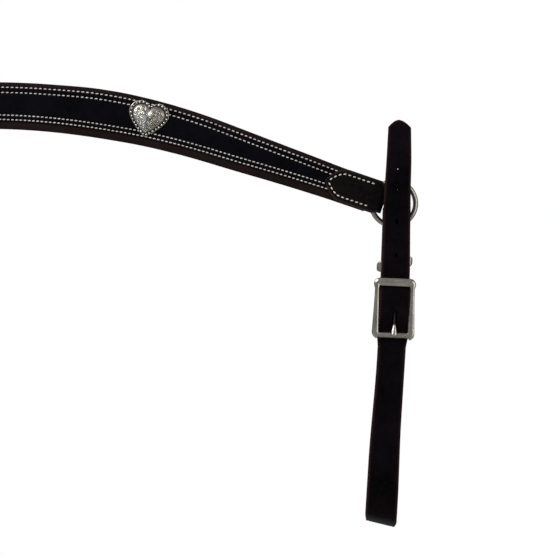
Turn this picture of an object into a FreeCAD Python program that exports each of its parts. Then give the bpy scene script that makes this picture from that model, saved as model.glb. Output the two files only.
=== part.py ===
import FreeCAD, Part
import math
import os

# Western breast collar: a contoured band of three leather layers with a ring at each end.
# A buckled tug strap hangs from each ring, and a dee stands at the middle for the girth strap.
# X runs to the right, Y to the back and Z up. The origin is on the lining's back face, on the
# band's centreline at the middle. Every length is in millimetres and every angle in degrees.

Vector = FreeCAD.Vector
Placement = FreeCAD.Placement
Rotation = FreeCAD.Rotation

doc = FreeCAD.newDocument("breast_collar")
sheet = doc.addObject("Spreadsheet::Sheet", "dims")

SIZES = {
    # the band's contour, along its centreline from the middle
    "middle_straight": 15.0,      # straight run each side of the middle
    "contour_bend": 650.0,        # radius of the centreline's arc
    "contour_turn": 18.9,         # how far the arc turns
    "ring_distance": 394.0,       # from the middle to the ring's centre
    "width_middle": 41.7,
    "width_widest": 43.4,
    "width_end": 31.0,
    "widest_at": 135.0,
    "taper_ends_at": 340.0,
    # the band's layers
    "lining_thick": 1.4,
    "base_thick": 2.2,
    "overlay_thick": 1.4,
    "margin_upper": 3.6,          # base leather showing above the overlay
    "margin_lower": 7.2,          # and below it
    # heart conchos
    "concho_at": 160.5,
    "concho_lift": 3.2,           # above the band's centreline
    "concho_width": 36.4,
    "concho_tilt": 12.0,
    "concho_rim": 1.6,
    "concho_rise": 4.4,           # dome above the rim
    "heart_lobe": 0.53,           # lobe's radius, as a share of half the heart's width
    "heart_lobe_up": 0.40,        # its centre above the heart's origin
    "heart_tip": 0.90,            # the tip below it
    "heart_flank": 0.60,          # bulge of the long side, across
    "heart_flank_down": 0.38,     # and down
    "heart_dome": 0.86,           # dome's outline against the rim's
    "dome_round": 2.4,
    "screw_stem": 5.0,            # diameter
    "screw_head": 9.5,
    "screw_head_thick": 1.1,
    "screw_depth": 3.0,           # stem inside the concho
    # rings and end chapes
    "ring_bore": 33.8,
    "ring_wire": 4.7,
    "ring_gap": 0.15,             # leather to wire, inside the chape's fold
    "chape_thick": 2.2,
    "chape_width": "=width_end",
    "chape_fold_width": 25.0,
    "chape_reach": 65.0,          # from the ring's centre to the chape's tip
    "chape_shoulder": 47.0,
    "chape_bulge": 0.62,          # half width midway between shoulder and tip, as a share
    "chape_waist": 15.5,          # where the narrowing to the fold begins
    "neck_bend": 4.0,             # where its legs spread for a wire thicker than the band
    "nose_reach": 8.2,            # from the ring's centre to the fold's nose
    "band_stop": 23.0,            # from the ring's centre to the band's cut end
    # tug straps
    "tug_thick": 2.8,
    "tug_width": 25.4,
    "tug_ring_width": 24.4,       # where the strap passes through the ring
    "tip_width": 19.6,
    "tip_above": 74.6,            # billet's tip above the ring's centre
    "tip_round": 0.7,             # height of the round tip, as a share of half its width
    "loop_below": 288.0,          # bottom of the strap's loop below the ring's centre
    "loop_top": 4.2,              # top of the strap's loop below the ring's centre
    "loop_room": 2.15,            # the ring's wire to the loop's legs
    "loop_gap": "=ring_wire + 2 * loop_room",   # hollow between the loop's two legs
    "tug_offset": 2.7,            # strap's centre to the right of the ring's centre
    "tug_lean": 2.4,              # the whole tug, from upright
    "upper_lean": -1.2,           # the strap above the buckle, on top of the tug's lean
    "lower_lean": 1.05,           # and below it
    "tail_thick": 1.8,            # the folded tail is skived thinner
    "tail_top": 29.0,
    "tongue_size": 2.4,
    "hole_room": 0.6,             # tongue to the hole's wall
    "hole_size": "=tongue_size + 2 * hole_room",
    "hole_pitch": 29.0,
    "end_hole": 31.5,             # the extra hole near the tip, above the ring's centre
    # buckles
    "buckle_below": 89.0,         # centre bar below the ring's centre
    "buckle_side": 4.2,
    "buckle_room": 2.4,           # the strap's edge to the frame's side
    "buckle_width": "=tug_width + 2 * (buckle_side + buckle_room)",
    "buckle_corner": 5.6,         # width of the feet beside the roller
    "buckle_above": 22.7,         # frame's top edge above the centre bar
    "buckle_under": 34.4,         # frame's feet below the centre bar
    "buckle_thick": 3.2,
    "top_bar": 7.2,
    "frame_round": 3.0,
    "bar_size": 3.2,
    "bar_setback": 5.2,           # centre bar behind the frame's middle plane
    "roller_drop": 29.4,          # roller below the centre bar
    "roller_size": 5.2,
    "axle_size": 2.9,
    "bend_gap": 0.15,             # leather to bar, inside the fold
    "bar_gap": 0.5,               # strap to the top bar
    "roller_gap": 0.7,            # strap to the roller
    "layer_gap": 0.1,             # billet to the fold in front of the centre bar
    "turning_gap": 0.05,          # radial running clearance of roller and tongue
    "tongue_eye": 5.8,
    "tongue_eye_width": 3.6,
    "tongue_rest": 0.15,          # tongue to roller
    "slot_room": 0.5,             # the tongue's eye to the slot's wall
    "slot_width": "=tongue_eye_width + 2 * slot_room",
    "slot_length": 15.5,
    # where the strap's path turns, and how gently
    "loop_bend": 60.0,            # half way from the loop's bottom to the roller
    "roller_lead": 16.0,          # where the billet reaches the roller's depth, below it
    "roller_lead_bend": 30.0,
    "roller_past": 6.0,           # where it leaves that depth, above the roller
    "roller_bend": 8.0,
    "bar_lead": 12.0,             # the stretch in front of the centre bar, below and above
    "bar_past": 7.0,
    "bar_bend": 6.0,
    "top_bar_lead": 1.6,          # the stretch behind the top bar, below and above
    "top_bar_past": 0.8,
    "top_bar_bend": 4.0,
    "keeper_bend": 3.0,
    "keeper_lead": 1.2,
    "tail_rise": 4.5,             # the tail's fold, above the centre bar
    "tail_joins": 12.0,           # where it meets the fixed leg
    "tail_bend": 4.0,
    "full_width_below": 60.0,     # the strap narrows from here up to where it enters the ring
    "ring_width_below": 20.0,
    # keepers and tug screws
    "keeper_below": 55.3,
    "keeper_band": 9.0,
    "keeper_thick": 1.5,
    "keeper_room": 2.9,           # the strap's edge to the keeper's side
    "keeper_width": "=tug_width + 2 * (keeper_thick + keeper_room)",
    "keeper_inside": 8.6,
    "keeper_gap": 0.3,
    "keeper_round": 2.8,
    "rivet_below": 36.0,
    "rivet_head": 8.0,
    "rivet_head_thick": 1.1,
    "rivet_barrel": 5.0,
    "rivet_stud": 3.0,
    # centre dee and its chape
    "dee_inside": 25.4,
    "dee_wire": 4.8,
    "dee_side": 6.0,
    "dee_stand": 6.0,             # bar above the band's upper edge
    "dee_hang": 42.0,             # from straight down, where it rests on the band's edge
    "dee_room": 0.9,              # the chape's edge to the dee's side
    "dee_chape_width": "=dee_inside - 2 * dee_room",
    "dee_chape_drop": 26.0,       # below the band's upper edge
    "dee_chape_round": 0.8,       # height of its round end, as a share of half its width
}


def fill_sheet():
    for row, (alias, value) in enumerate(SIZES.items(), start=1):
        sheet.set("A%d" % row, alias)
        sheet.set("B%d" % row, str(value))
        sheet.setAlias("B%d" % row, alias)
    doc.recompute()


class Sizes:
    """Reads a size back from the sheet by its alias."""

    def __getattr__(self, alias):
        return float(sheet.get(alias))


fill_sheet()
d = Sizes()

body_thick = d.lining_thick + d.base_thick + d.overlay_thick
ring_plane = -body_thick / 2                       # Y of the rings and of both chapes' middle
fold_half = max(body_thick / 2, d.ring_wire / 2 + d.ring_gap) + d.chape_thick / 2
fold_reach = d.nose_reach + fold_half + d.chape_thick / 2     # to the centre of the chape's fold
sides = ("right", "left")
spare = 1.0                                        # how far a cutting tool reaches past a face


# ---------------------------------------------------------------- shared helpers

def bind(piece, **expressions):
    for name, text in expressions.items():
        piece.setExpression(name, text)
    return piece


def cylinder(name, radius, height, place):
    piece = doc.addObject("Part::Cylinder", name)
    bind(piece, Radius=radius, Height=height)
    piece.Placement = place
    return piece


def box(name, length, width, height, place):
    piece = doc.addObject("Part::Box", name)
    bind(piece, Length=length, Width=width, Height=height)
    piece.Placement = place
    return piece


def fuse(name, shapes):
    piece = doc.addObject("Part::MultiFuse", name)
    piece.Shapes = shapes
    piece.Refine = True
    return piece


def cut(name, base, tool):
    piece = doc.addObject("Part::Cut", name)
    piece.Base = base
    piece.Tool = tool
    return piece


def feature(name, shape):
    piece = doc.addObject("Part::Feature", name)
    piece.Shape = shape
    return piece


def face_of(edges):
    return Part.Face(Part.Wire(Part.__sortEdges__(edges)))


def rounded_path(corners):
    """Straight runs joined by tangent arcs, through corners of (y, z, radius)."""
    points = [Vector(0, y, z) for y, z, radius in corners]
    edges = []
    start = points[0]
    for before, corner, after, spec in zip(points, points[1:], points[2:], corners[1:]):
        towards = (before - corner).normalize()
        away = (after - corner).normalize()
        half = towards.getAngle(away) / 2
        if math.pi / 2 - half < 1e-6:
            continue                               # straight on
        reach = spec[2] / math.tan(half)
        first = corner + towards * reach
        last = corner + away * reach
        bisector = (towards + away).normalize()
        centre = corner + bisector * (spec[2] / math.sin(half))
        middle = centre - bisector * spec[2]
        if start.distanceToPoint(first) > 1e-6:
            edges.append(Part.LineSegment(start, first).toShape())
        edges.append(Part.Arc(first, middle, last).toShape())
        start = last
    edges.append(Part.LineSegment(start, points[-1]).toShape())
    return Part.Wire(edges)


def ribbon(corners, thick, half_width):
    """A strap of constant thickness along a path in the YZ plane, wide along X."""
    path = rounded_path(corners)
    start = path.Edges[0].Vertexes[0].Point
    section = Part.makePolygon([
        start + Vector(-half_width, -thick / 2, 0), start + Vector(half_width, -thick / 2, 0),
        start + Vector(half_width, thick / 2, 0), start + Vector(-half_width, thick / 2, 0),
        start + Vector(-half_width, -thick / 2, 0)])
    return path.makePipeShell([section], True, False)


# ---------------------------------------------------------------- the band's contour

def centreline(distance):
    """Point (x, z) and downward slope angle at a distance from the middle, right half."""
    turn = math.radians(d.contour_turn)
    arc_length = d.contour_bend * turn
    past = distance - d.middle_straight
    if past <= 0:
        return distance, 0.0, 0.0
    angle = min(past, arc_length) / d.contour_bend
    x = d.middle_straight + d.contour_bend * math.sin(angle)
    z = -d.contour_bend * (1 - math.cos(angle))
    run = max(0.0, past - arc_length)
    return x + run * math.cos(angle), z - run * math.sin(angle), angle


def band_width(distance):
    if distance <= d.widest_at:
        share = distance / d.widest_at
        ease = share * share * (3 - 2 * share)
        return d.width_middle + (d.width_widest - d.width_middle) * ease
    share = min(1.0, (distance - d.widest_at) / (d.taper_ends_at - d.widest_at))
    ease = (share + share * share * (3 - 2 * share)) / 2
    return d.width_widest + (d.width_end - d.width_widest) * ease


def band_edge(stations, upper, inset):
    """The band's upper or lower edge as one curve across both halves."""
    right = []
    for distance in stations:
        x, z, angle = centreline(distance)
        offset = band_width(distance) / 2 - inset
        sign = 1 if upper else -1
        right.append((x + sign * offset * math.sin(angle), z + sign * offset * math.cos(angle)))
    left = [(-x, z) for x, z in reversed(right[1:])]
    curve = Part.BSplineCurve()
    curve.interpolate([Vector(x, 0, z) for x, z in left + right])
    return curve.toShape()


def layer(name, front, thick, inset_upper, inset_lower):
    """One layer of the band, its front face at a given Y, with both concho holes."""
    end = d.ring_distance - d.band_stop
    spans = 9                                      # of the edge's curve, each side of the middle
    stations = [end * step / spans for step in range(spans + 1)]
    upper = band_edge(stations, True, inset_upper)
    lower = band_edge(stations, False, inset_lower)
    corners = [upper.Vertexes[0].Point, lower.Vertexes[0].Point,
               upper.Vertexes[1].Point, lower.Vertexes[1].Point]
    ends = [Part.LineSegment(corners[0], corners[1]).toShape(),
            Part.LineSegment(corners[2], corners[3]).toShape()]
    solid = face_of([upper, lower] + ends).extrude(Vector(0, thick, 0))
    solid.translate(Vector(0, front, 0))
    for sign in (1, -1):
        x, z = concho_centre()
        radius = d.screw_stem / 2 + d.turning_gap
        hole = Part.makeCylinder(radius, thick + 2 * spare, Vector(sign * x, front - spare, z),
                                 Vector(0, 1, 0))
        solid = solid.cut(hole)
    return feature(name, solid)


def concho_centre():
    x, z, angle = centreline(d.concho_at)
    return x + d.concho_lift * math.sin(angle), z + d.concho_lift * math.cos(angle)


def ring_frame():
    """Placement at the right ring's centre, +X pointing away from the band."""
    x, z, angle = centreline(d.ring_distance)
    return Placement(Vector(x, ring_plane, z), Rotation(Vector(0, 1, 0), math.degrees(angle)))


ring_place = ring_frame()
ring_x = ring_place.Base.x
ring_z = ring_place.Base.z


# ---------------------------------------------------------------- conchos and their screws

def heart_outline(scale):
    """Two round lobes and two long convex sides; the middle of its width is the origin."""
    half = d.concho_width / 2 * scale
    lobe = half * d.heart_lobe
    lobe_x = half - lobe
    lobe_z = half * d.heart_lobe_up
    notch = lobe_z + math.sqrt(lobe * lobe - lobe_x * lobe_x)
    tip = Vector(0, 0, -half * d.heart_tip)
    side_angle = math.radians(-25)                 # where lobe and long side meet
    crown_angle = math.radians(60)
    edges = []
    for sign in (1, -1):
        side = Vector(sign * (lobe_x + lobe * math.cos(side_angle)), 0,
                      lobe_z + lobe * math.sin(side_angle))
        crown = Vector(sign * (lobe_x + lobe * math.cos(crown_angle)), 0,
                       lobe_z + lobe * math.sin(crown_angle))
        flank = Vector(sign * half * d.heart_flank, 0, -half * d.heart_flank_down)
        edges.append(Part.Arc(Vector(0, 0, notch), crown, side).toShape())
        edges.append(Part.Arc(side, flank, tip).toShape())
    return face_of(edges)


def heart_concho(name, place):
    rim = heart_outline(1.0).extrude(Vector(0, -d.concho_rim, 0))
    height = d.concho_rim + d.concho_rise
    dome = heart_outline(d.heart_dome).extrude(Vector(0, -height, 0))
    front = [edge for edge in dome.Edges if edge.BoundBox.YMax < -height + 0.01]
    dome = dome.makeFillet(min(d.dome_round, d.concho_rise * 0.6), front)
    solid = rim.fuse(dome).removeSplitter()
    bore = Part.makeCylinder(d.screw_stem / 2 + d.turning_gap, d.screw_depth + spare,
                             Vector(0, -d.screw_depth - d.keeper_gap, 0), Vector(0, 1, 0))
    piece = feature(name, solid.cut(bore))
    piece.Placement = place
    return piece


def concho_screw(name, x, z):
    """Flat head against the lining, stem through the band into the concho."""
    turned = Rotation(Vector(1, 0, 0), -90)
    head = cylinder(name + "_head", "dims.screw_head / 2", "dims.screw_head_thick",
                    Placement(Vector(x, 0, z), turned))
    length = "dims.lining_thick + dims.base_thick + dims.overlay_thick + dims.screw_depth"
    stem = cylinder(name + "_stem", "dims.screw_stem / 2", length,
                    Placement(Vector(x, -body_thick - d.screw_depth, z), turned))
    return fuse(name, [head, stem])


# ---------------------------------------------------------------- rings and end chapes

def ring(name):
    piece = doc.addObject("Part::Torus", name)
    bind(piece, Radius1="(dims.ring_bore + dims.ring_wire) / 2", Radius2="dims.ring_wire / 2")
    piece.Placement = Placement(ring_place.Base, Rotation(Vector(1, 0, 0), 90))
    return piece


def end_chape(name):
    """Strap folded round the ring's wire, both ends spear pointed, band between its legs."""
    middle = body_thick / 2 + d.chape_thick / 2
    apex = -fold_reach + fold_half
    reach = d.chape_reach + spare
    spread = -(d.band_stop + d.chape_waist) / 2    # the legs spread here for a thick wire
    path = [(-middle, -reach, 0), (-middle, -d.band_stop, d.neck_bend), (-fold_half, spread, d.neck_bend),
            (-fold_half, apex, fold_half), (fold_half, apex, fold_half),
            (fold_half, spread, d.neck_bend), (middle, -d.band_stop, d.neck_bend), (middle, -reach, 0)]
    strap = ribbon(path, d.chape_thick, d.chape_width)
    # the ribbon runs along Z: turn it so that the fold points along +X
    strap.rotate(Vector(0, 0, 0), Vector(0, 1, 0), 90)
    half = d.chape_width / 2
    narrow = d.chape_fold_width / 2
    far = fold_half + d.chape_thick
    tip = Vector(-d.chape_reach, 0, 0)
    shoulder = [Vector(-d.chape_shoulder, 0, sign * half) for sign in (1, -1)]
    midway = -(d.chape_reach + d.chape_shoulder) / 2
    bulge = [Vector(midway, 0, sign * half * d.chape_bulge) for sign in (1, -1)]
    waist = [Vector(-d.chape_waist, 0, sign * half) for sign in (1, -1)]
    neck = [Vector(-fold_reach, 0, sign * narrow) for sign in (1, -1)]
    nose = [Vector(-fold_reach + far, 0, sign * narrow) for sign in (1, -1)]
    edges = [Part.Arc(tip, bulge[0], shoulder[0]).toShape(),
             Part.LineSegment(shoulder[0], waist[0]).toShape(),
             Part.LineSegment(waist[0], neck[0]).toShape(),
             Part.LineSegment(neck[0], nose[0]).toShape(),
             Part.LineSegment(nose[0], nose[1]).toShape(),
             Part.LineSegment(nose[1], neck[1]).toShape(),
             Part.LineSegment(neck[1], waist[1]).toShape(),
             Part.LineSegment(waist[1], shoulder[1]).toShape(),
             Part.Arc(shoulder[1], bulge[1], tip).toShape()]
    outline = face_of(edges).extrude(Vector(0, 4 * far, 0))
    outline.translate(Vector(0, -2 * far, 0))
    piece = feature(name, strap.common(outline))
    piece.Placement = ring_place
    return piece


# ---------------------------------------------------------------- tug straps
# The tug has a frame of its own: the ring's centre, leaning with the strap. The values
# below are in it, with Y from the ring's plane and Z from the ring's centre.

tug_place = Placement(ring_place.Base, Rotation(Vector(0, 1, 0), d.tug_lean))

half_strap = d.tug_thick / 2
leg_y = d.loop_gap / 2 + half_strap                       # middle of each leg of the loop
bar_y = -(leg_y + half_strap + d.bend_gap + d.bar_size / 2)   # centre bar, held in the fold
frame_y = bar_y - d.bar_setback                           # the frame's middle plane
fold_inner = d.bar_size / 2 + d.bend_gap
tail_y = -(leg_y + half_strap + d.tail_thick / 2)         # the folded tail lies on the fixed leg
fold_front_y = bar_y - fold_inner - d.tail_thick
billet_bar_y = fold_front_y - d.layer_gap - half_strap
billet_top_y = frame_y + d.buckle_thick / 2 + d.bar_gap + half_strap
billet_roller_y = frame_y + d.roller_size / 2 + d.roller_gap + half_strap
keeper_front_y = tail_y - d.tail_thick / 2 - d.keeper_gap     # inner face of the keeper's front
billet_y = keeper_front_y - d.keeper_thick - d.keeper_gap - half_strap
bar_z = -d.buckle_below
knee_z = bar_z - d.roller_drop / 4                        # where the strap's lean changes
keeper_low_z = -d.keeper_below - d.keeper_band / 2
top_bar_z = bar_z + d.buckle_above                        # the frame's top edge
roller_z = bar_z - d.roller_drop


def strap_x(z):
    """The strap's middle at a height, both measured from the ring's centre."""
    at_knee = d.tug_offset + knee_z * math.tan(math.radians(d.upper_lean))
    if z >= knee_z:
        return d.tug_offset + z * math.tan(math.radians(d.upper_lean))
    return at_knee + (z - knee_z) * math.tan(math.radians(d.lower_lean))


def tongue_line():
    """From the centre bar, past the roller's front by a little, as (y, z)."""
    reach = math.hypot(d.bar_setback, d.roller_drop)
    stand_off = d.roller_size / 2 + d.tongue_rest + d.tongue_size / 2
    angle = math.atan2(d.bar_setback, d.roller_drop) + math.asin(stand_off / reach)
    length = math.sqrt(reach * reach - stand_off * stand_off) + d.tongue_size
    return (bar_y, bar_z), (bar_y - length * math.sin(angle), bar_z - length * math.cos(angle))


def tongue_hole_z():
    """Height where the tongue's middle crosses the billet's middle."""
    (y0, z0), (y1, z1) = tongue_line()
    low, high = roller_z, bar_z
    rise = (billet_bar_y - billet_roller_y) / (high - low)
    slope = (y1 - y0) / (z1 - z0)
    return (billet_roller_y - rise * low - y0 + slope * z0) / (slope - rise)


def tug_paths():
    bottom = -d.loop_below + half_strap
    top = -d.loop_top - half_strap
    loop = [(-leg_y, bar_z, 0), (-leg_y, top, leg_y), (leg_y, top, leg_y),
            (leg_y, bottom, leg_y), (-leg_y, bottom, leg_y)]
    below = (roller_z + bottom) / 2
    billet = [(-leg_y, below, d.loop_bend),
              (billet_roller_y, roller_z - d.roller_lead, d.roller_lead_bend),
              (billet_roller_y, roller_z + d.roller_past, d.roller_bend),
              (billet_bar_y, bar_z - d.bar_lead, d.bar_bend),
              (billet_bar_y, bar_z + d.bar_past, d.bar_bend),
              (billet_top_y, top_bar_z - d.top_bar - d.top_bar_lead, d.top_bar_bend),
              (billet_top_y, top_bar_z + d.top_bar_past, d.keeper_bend),
              (billet_y, keeper_low_z - d.keeper_lead, d.keeper_bend),
              (billet_y, d.tip_above + spare, 0)]
    round_bar = fold_inner + d.tail_thick / 2
    tail = [(bar_y + round_bar, bar_z, 0), (bar_y + round_bar, bar_z - round_bar, round_bar),
            (bar_y - round_bar, bar_z - round_bar, round_bar),
            (bar_y - round_bar, bar_z + d.tail_rise, d.tail_bend),
            (tail_y, bar_z + d.tail_joins, d.tail_bend), (tail_y, -d.tail_top, 0)]
    return loop + billet, tail


def strap_outline():
    """Front view of the strap: lean, width, taper to the tip and round tip."""
    half = d.tug_width / 2
    at_ring = d.tug_ring_width / 2
    at_tip = d.tip_width / 2
    shoulder = d.tip_above - d.tip_round * at_tip
    stations = [(-d.loop_below - spare, half), (knee_z, half), (-d.full_width_below, half),
                (-d.ring_width_below, at_ring), (-d.loop_top, at_ring), (shoulder, at_tip)]
    right = [Vector(strap_x(z) + wide, 0, z) for z, wide in stations]
    left = [Vector(strap_x(z) - wide, 0, z) for z, wide in stations]
    tip = Vector(strap_x(d.tip_above), 0, d.tip_above)
    edges = [Part.LineSegment(a, b).toShape() for a, b in zip(right, right[1:])]
    edges += [Part.LineSegment(a, b).toShape() for a, b in zip(left, left[1:])]
    edges.append(Part.LineSegment(left[0], right[0]).toShape())
    edges.append(Part.Arc(left[-1], tip, right[-1]).toShape())
    deep = 4 * abs(frame_y)
    solid = face_of(edges).extrude(Vector(0, deep, 0))
    solid.translate(Vector(0, -deep / 2, 0))
    return solid


def drill(radius, z, front, back):
    return Part.makeCylinder(radius, back - front, Vector(strap_x(z), front, z), Vector(0, 1, 0))


def slot(low, high, front, back):
    half = d.slot_width / 2
    middle = strap_x((low + high) / 2)
    return Part.makeBox(2 * half, back - front, high - low, Vector(middle - half, front, low))


def tug_strap(name):
    main, tail = tug_paths()
    wide = d.tug_width * 2
    solid = ribbon(main, d.tug_thick, wide).fuse(ribbon(tail, d.tail_thick, wide))
    solid = solid.common(strap_outline())
    clear_front = billet_bar_y - 2 * d.tug_thick
    clear_back = -leg_y + half_strap + spare
    behind_billet = billet_y + half_strap + d.keeper_gap / 2
    crossing = tongue_hole_z()
    tools = [slot(crossing - d.slot_length / 2, crossing + d.slot_length / 2, clear_front,
                  billet_roller_y + d.tug_thick),
             slot(bar_z - fold_inner - 2 * d.tail_thick, bar_z + d.tongue_eye / 2 + spare,
                  fold_front_y - d.layer_gap / 2, clear_back)]
    hole_z = crossing + 2 * d.hole_pitch
    while hole_z < d.end_hole - d.hole_pitch / 2:
        tools.append(drill(d.hole_size / 2, hole_z, clear_front, behind_billet))
        hole_z += d.hole_pitch
    tools.append(drill(d.hole_size / 2, d.end_hole, clear_front, behind_billet))
    barrel = d.rivet_barrel / 2 + d.turning_gap
    tools.append(drill(barrel, -d.rivet_below, behind_billet, clear_back))
    for tool in tools:
        solid = solid.cut(tool)
    piece = feature(name, solid)
    piece.Placement = tug_place
    return piece


def rivet_place(y):
    z = -d.rivet_below
    return tug_place * Placement(Vector(strap_x(z), y, z), Rotation(Vector(1, 0, 0), -90))


def tug_screw(post_name, cap_name):
    """A screw post whose head lies on the tail, and a cap whose stud goes into its barrel."""
    front = tail_y - d.tail_thick / 2
    post_head = cylinder(post_name + "_head", "dims.rivet_head / 2", "dims.rivet_head_thick",
                         rivet_place(front - d.rivet_head_thick))
    stack = "dims.tail_thick + dims.tug_thick"
    barrel = cylinder(post_name + "_barrel", "dims.rivet_barrel / 2", stack, rivet_place(front))
    bore = cylinder(post_name + "_bore", "dims.rivet_stud / 2 + dims.turning_gap",
                    stack, rivet_place(front + 0.4))
    cut(post_name, fuse(post_name + "_blank", [post_head, barrel]), bore)
    back = front + d.tail_thick + d.tug_thick
    cap_head = cylinder(cap_name + "_head", "dims.rivet_head / 2", "dims.rivet_head_thick",
                        rivet_place(back))
    stud = cylinder(cap_name + "_stud", "dims.rivet_stud / 2", stack + " - 1", rivet_place(front + 1))
    fuse(cap_name, [cap_head, stud])


# ---------------------------------------------------------------- keepers

def keeper(name):
    """A flat metal loop round the fixed leg and its tail; the billet passes in front of it."""
    z = -d.keeper_below
    place = tug_place * Placement(Vector(strap_x(z), 0, z), Rotation())
    outer = doc.addObject("Part::Box", name + "_outer")
    bind(outer, Length="dims.keeper_width", Height="dims.keeper_band",
         Width="dims.keeper_inside + 2 * dims.keeper_thick")
    outer.Placement = place * Placement(
        Vector(-d.keeper_width / 2, keeper_front_y - d.keeper_thick, -d.keeper_band / 2), Rotation())
    inner = doc.addObject("Part::Box", name + "_inner")
    bind(inner, Length="dims.keeper_width - 2 * dims.keeper_thick", Height="dims.keeper_band + 2",
         Width="dims.keeper_inside")
    inner.Placement = place * Placement(
        Vector(-d.keeper_width / 2 + d.keeper_thick, keeper_front_y, -d.keeper_band / 2 - 1), Rotation())
    doc.recompute()
    rounded = doc.addObject("Part::Fillet", name + "_rounded")
    rounded.Base = outer
    rounded.Edges = [(index + 1, d.keeper_round, d.keeper_round)
                     for index, edge in enumerate(outer.Shape.Edges)
                     if abs(edge.BoundBox.ZLength - d.keeper_band) < 0.1]
    return cut(name, rounded, inner)


# ---------------------------------------------------------------- buckles

def in_buckle(base, turned=None):
    """Placement in the buckle's frame, whose origin is the middle of the centre bar."""
    centre = Placement(Vector(strap_x(bar_z), bar_y, bar_z), Rotation())
    return tug_place * centre * Placement(base, turned or Rotation())


def buckle_frame(name):
    """Flat frame with a wide top bar and open foot, bars for roller and strap."""
    half = d.buckle_width / 2
    front = -d.bar_setback - d.buckle_thick / 2
    plate = box(name + "_plate", "dims.buckle_width", "dims.buckle_thick",
                "dims.buckle_above + dims.buckle_under",
                in_buckle(Vector(-half, front, -d.buckle_under)))
    doc.recompute()
    rounded = doc.addObject("Part::Fillet", name + "_rounded")
    rounded.Base = plate
    rounded.Edges = [(index + 1, d.frame_round, d.frame_round)
                     for index, edge in enumerate(plate.Shape.Edges)
                     if abs(edge.Length - d.buckle_thick) < 0.01]
    window = box(name + "_window", "dims.buckle_width - 2 * dims.buckle_side", "dims.buckle_thick + 2",
                 "dims.buckle_above - dims.top_bar + dims.roller_drop - dims.roller_size",
                 in_buckle(Vector(-half + d.buckle_side, front - 1, -d.roller_drop + d.roller_size)))
    foot = box(name + "_foot", "dims.buckle_width - 2 * dims.buckle_corner", "dims.buckle_thick + 2",
               "dims.buckle_under + dims.roller_size",
               in_buckle(Vector(-half + d.buckle_corner, front - 1, -d.buckle_under - 2)))
    opened = cut(name + "_opened", cut(name + "_cut", rounded, window), foot)
    sideways = Rotation(Vector(0, 1, 0), 90)
    bar = cylinder(name + "_bar", "dims.bar_size / 2", "dims.buckle_width - 2",
                   in_buckle(Vector(-half + 1, 0, 0), sideways))
    axle = cylinder(name + "_axle", "dims.axle_size / 2", "dims.buckle_width - 4",
                    in_buckle(Vector(-half + 2, -d.bar_setback, -d.roller_drop), sideways))
    lugs = []
    lug_width = d.buckle_side - 0.8
    for sign in (1, -1):
        middle = sign * (half - d.buckle_side / 2)
        lugs.append(box(name + ("_lug_a" if sign > 0 else "_lug_b"), "dims.buckle_side - 0.8",
                        "dims.bar_setback + dims.bar_size / 2", "dims.bar_size + 2",
                        in_buckle(Vector(middle - lug_width / 2, -d.bar_setback,
                                         -d.bar_size / 2 - 1))))
    return fuse(name, [opened, bar, axle] + lugs)


def roller(name):
    sideways = Rotation(Vector(0, 1, 0), 90)
    half = d.buckle_width / 2 - d.buckle_corner - 0.2
    base = Vector(-half, -d.bar_setback, -d.roller_drop)
    length = "dims.buckle_width - 2 * dims.buckle_corner - 0.4"
    tube = cylinder(name + "_tube", "dims.roller_size / 2", length, in_buckle(base, sideways))
    bore = cylinder(name + "_bore", "dims.axle_size / 2 + dims.turning_gap", length + " + 2",
                    in_buckle(base - Vector(1, 0, 0), sideways))
    return cut(name, tube, bore)


def tongue(name):
    """An eye round the centre bar and a straight shank that lies on the roller."""
    sideways = Rotation(Vector(0, 1, 0), 90)
    eye = cylinder(name + "_eye", "dims.tongue_eye / 2", "dims.tongue_eye_width",
                   in_buckle(Vector(-d.tongue_eye_width / 2, 0, 0), sideways))
    (y0, z0), (y1, z1) = tongue_line()
    direction = Vector(0, y1 - y0, z1 - z0)
    shank = doc.addObject("Part::Cylinder", name + "_shank")
    bind(shank, Radius="dims.tongue_size / 2")
    shank.Height = direction.Length
    shank.Placement = in_buckle(Vector(0, 0, 0), Rotation(Vector(0, 0, 1), direction))
    bore = cylinder(name + "_bore", "dims.bar_size / 2 + dims.turning_gap", "dims.tongue_eye_width + 2",
                    in_buckle(Vector(-d.tongue_eye_width / 2 - 1, 0, 0), sideways))
    return cut(name, fuse(name + "_blank", [eye, shank]), bore)


# ---------------------------------------------------------------- centre dee

def dee_bar_z():
    return d.width_middle / 2 + d.dee_stand


def centre_dee(name):
    """Bar, two short sides and a half round bow, hanging forward over the band's edge."""
    swing = Placement(Vector(0, ring_plane, dee_bar_z()),
                      Rotation(Vector(1, 0, 0), 180 - d.dee_hang))
    reach = (d.dee_inside + d.dee_wire) / 2
    pieces = [cylinder(name + "_bar", "dims.dee_wire / 2", "dims.dee_inside + dims.dee_wire",
                       swing * Placement(Vector(-reach, 0, 0), Rotation(Vector(0, 1, 0), 90)))]
    for sign in (1, -1):
        tag = "_a" if sign > 0 else "_b"
        corner = doc.addObject("Part::Sphere", name + "_corner" + tag)
        bind(corner, Radius="dims.dee_wire / 2")
        corner.Placement = swing * Placement(Vector(sign * reach, 0, 0), Rotation())
        pieces.append(corner)
        pieces.append(cylinder(name + "_side" + tag, "dims.dee_wire / 2", "dims.dee_side",
                               swing * Placement(Vector(sign * reach, 0, 0), Rotation())))
    bow = doc.addObject("Part::Torus", name + "_bow")
    bind(bow, Radius1="(dims.dee_inside + dims.dee_wire) / 2", Radius2="dims.dee_wire / 2")
    bow.Angle3 = 180
    bow.Placement = swing * Placement(Vector(0, 0, d.dee_side), Rotation(Vector(1, 0, 0), 90))
    pieces.append(bow)
    return fuse(name, pieces)


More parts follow.
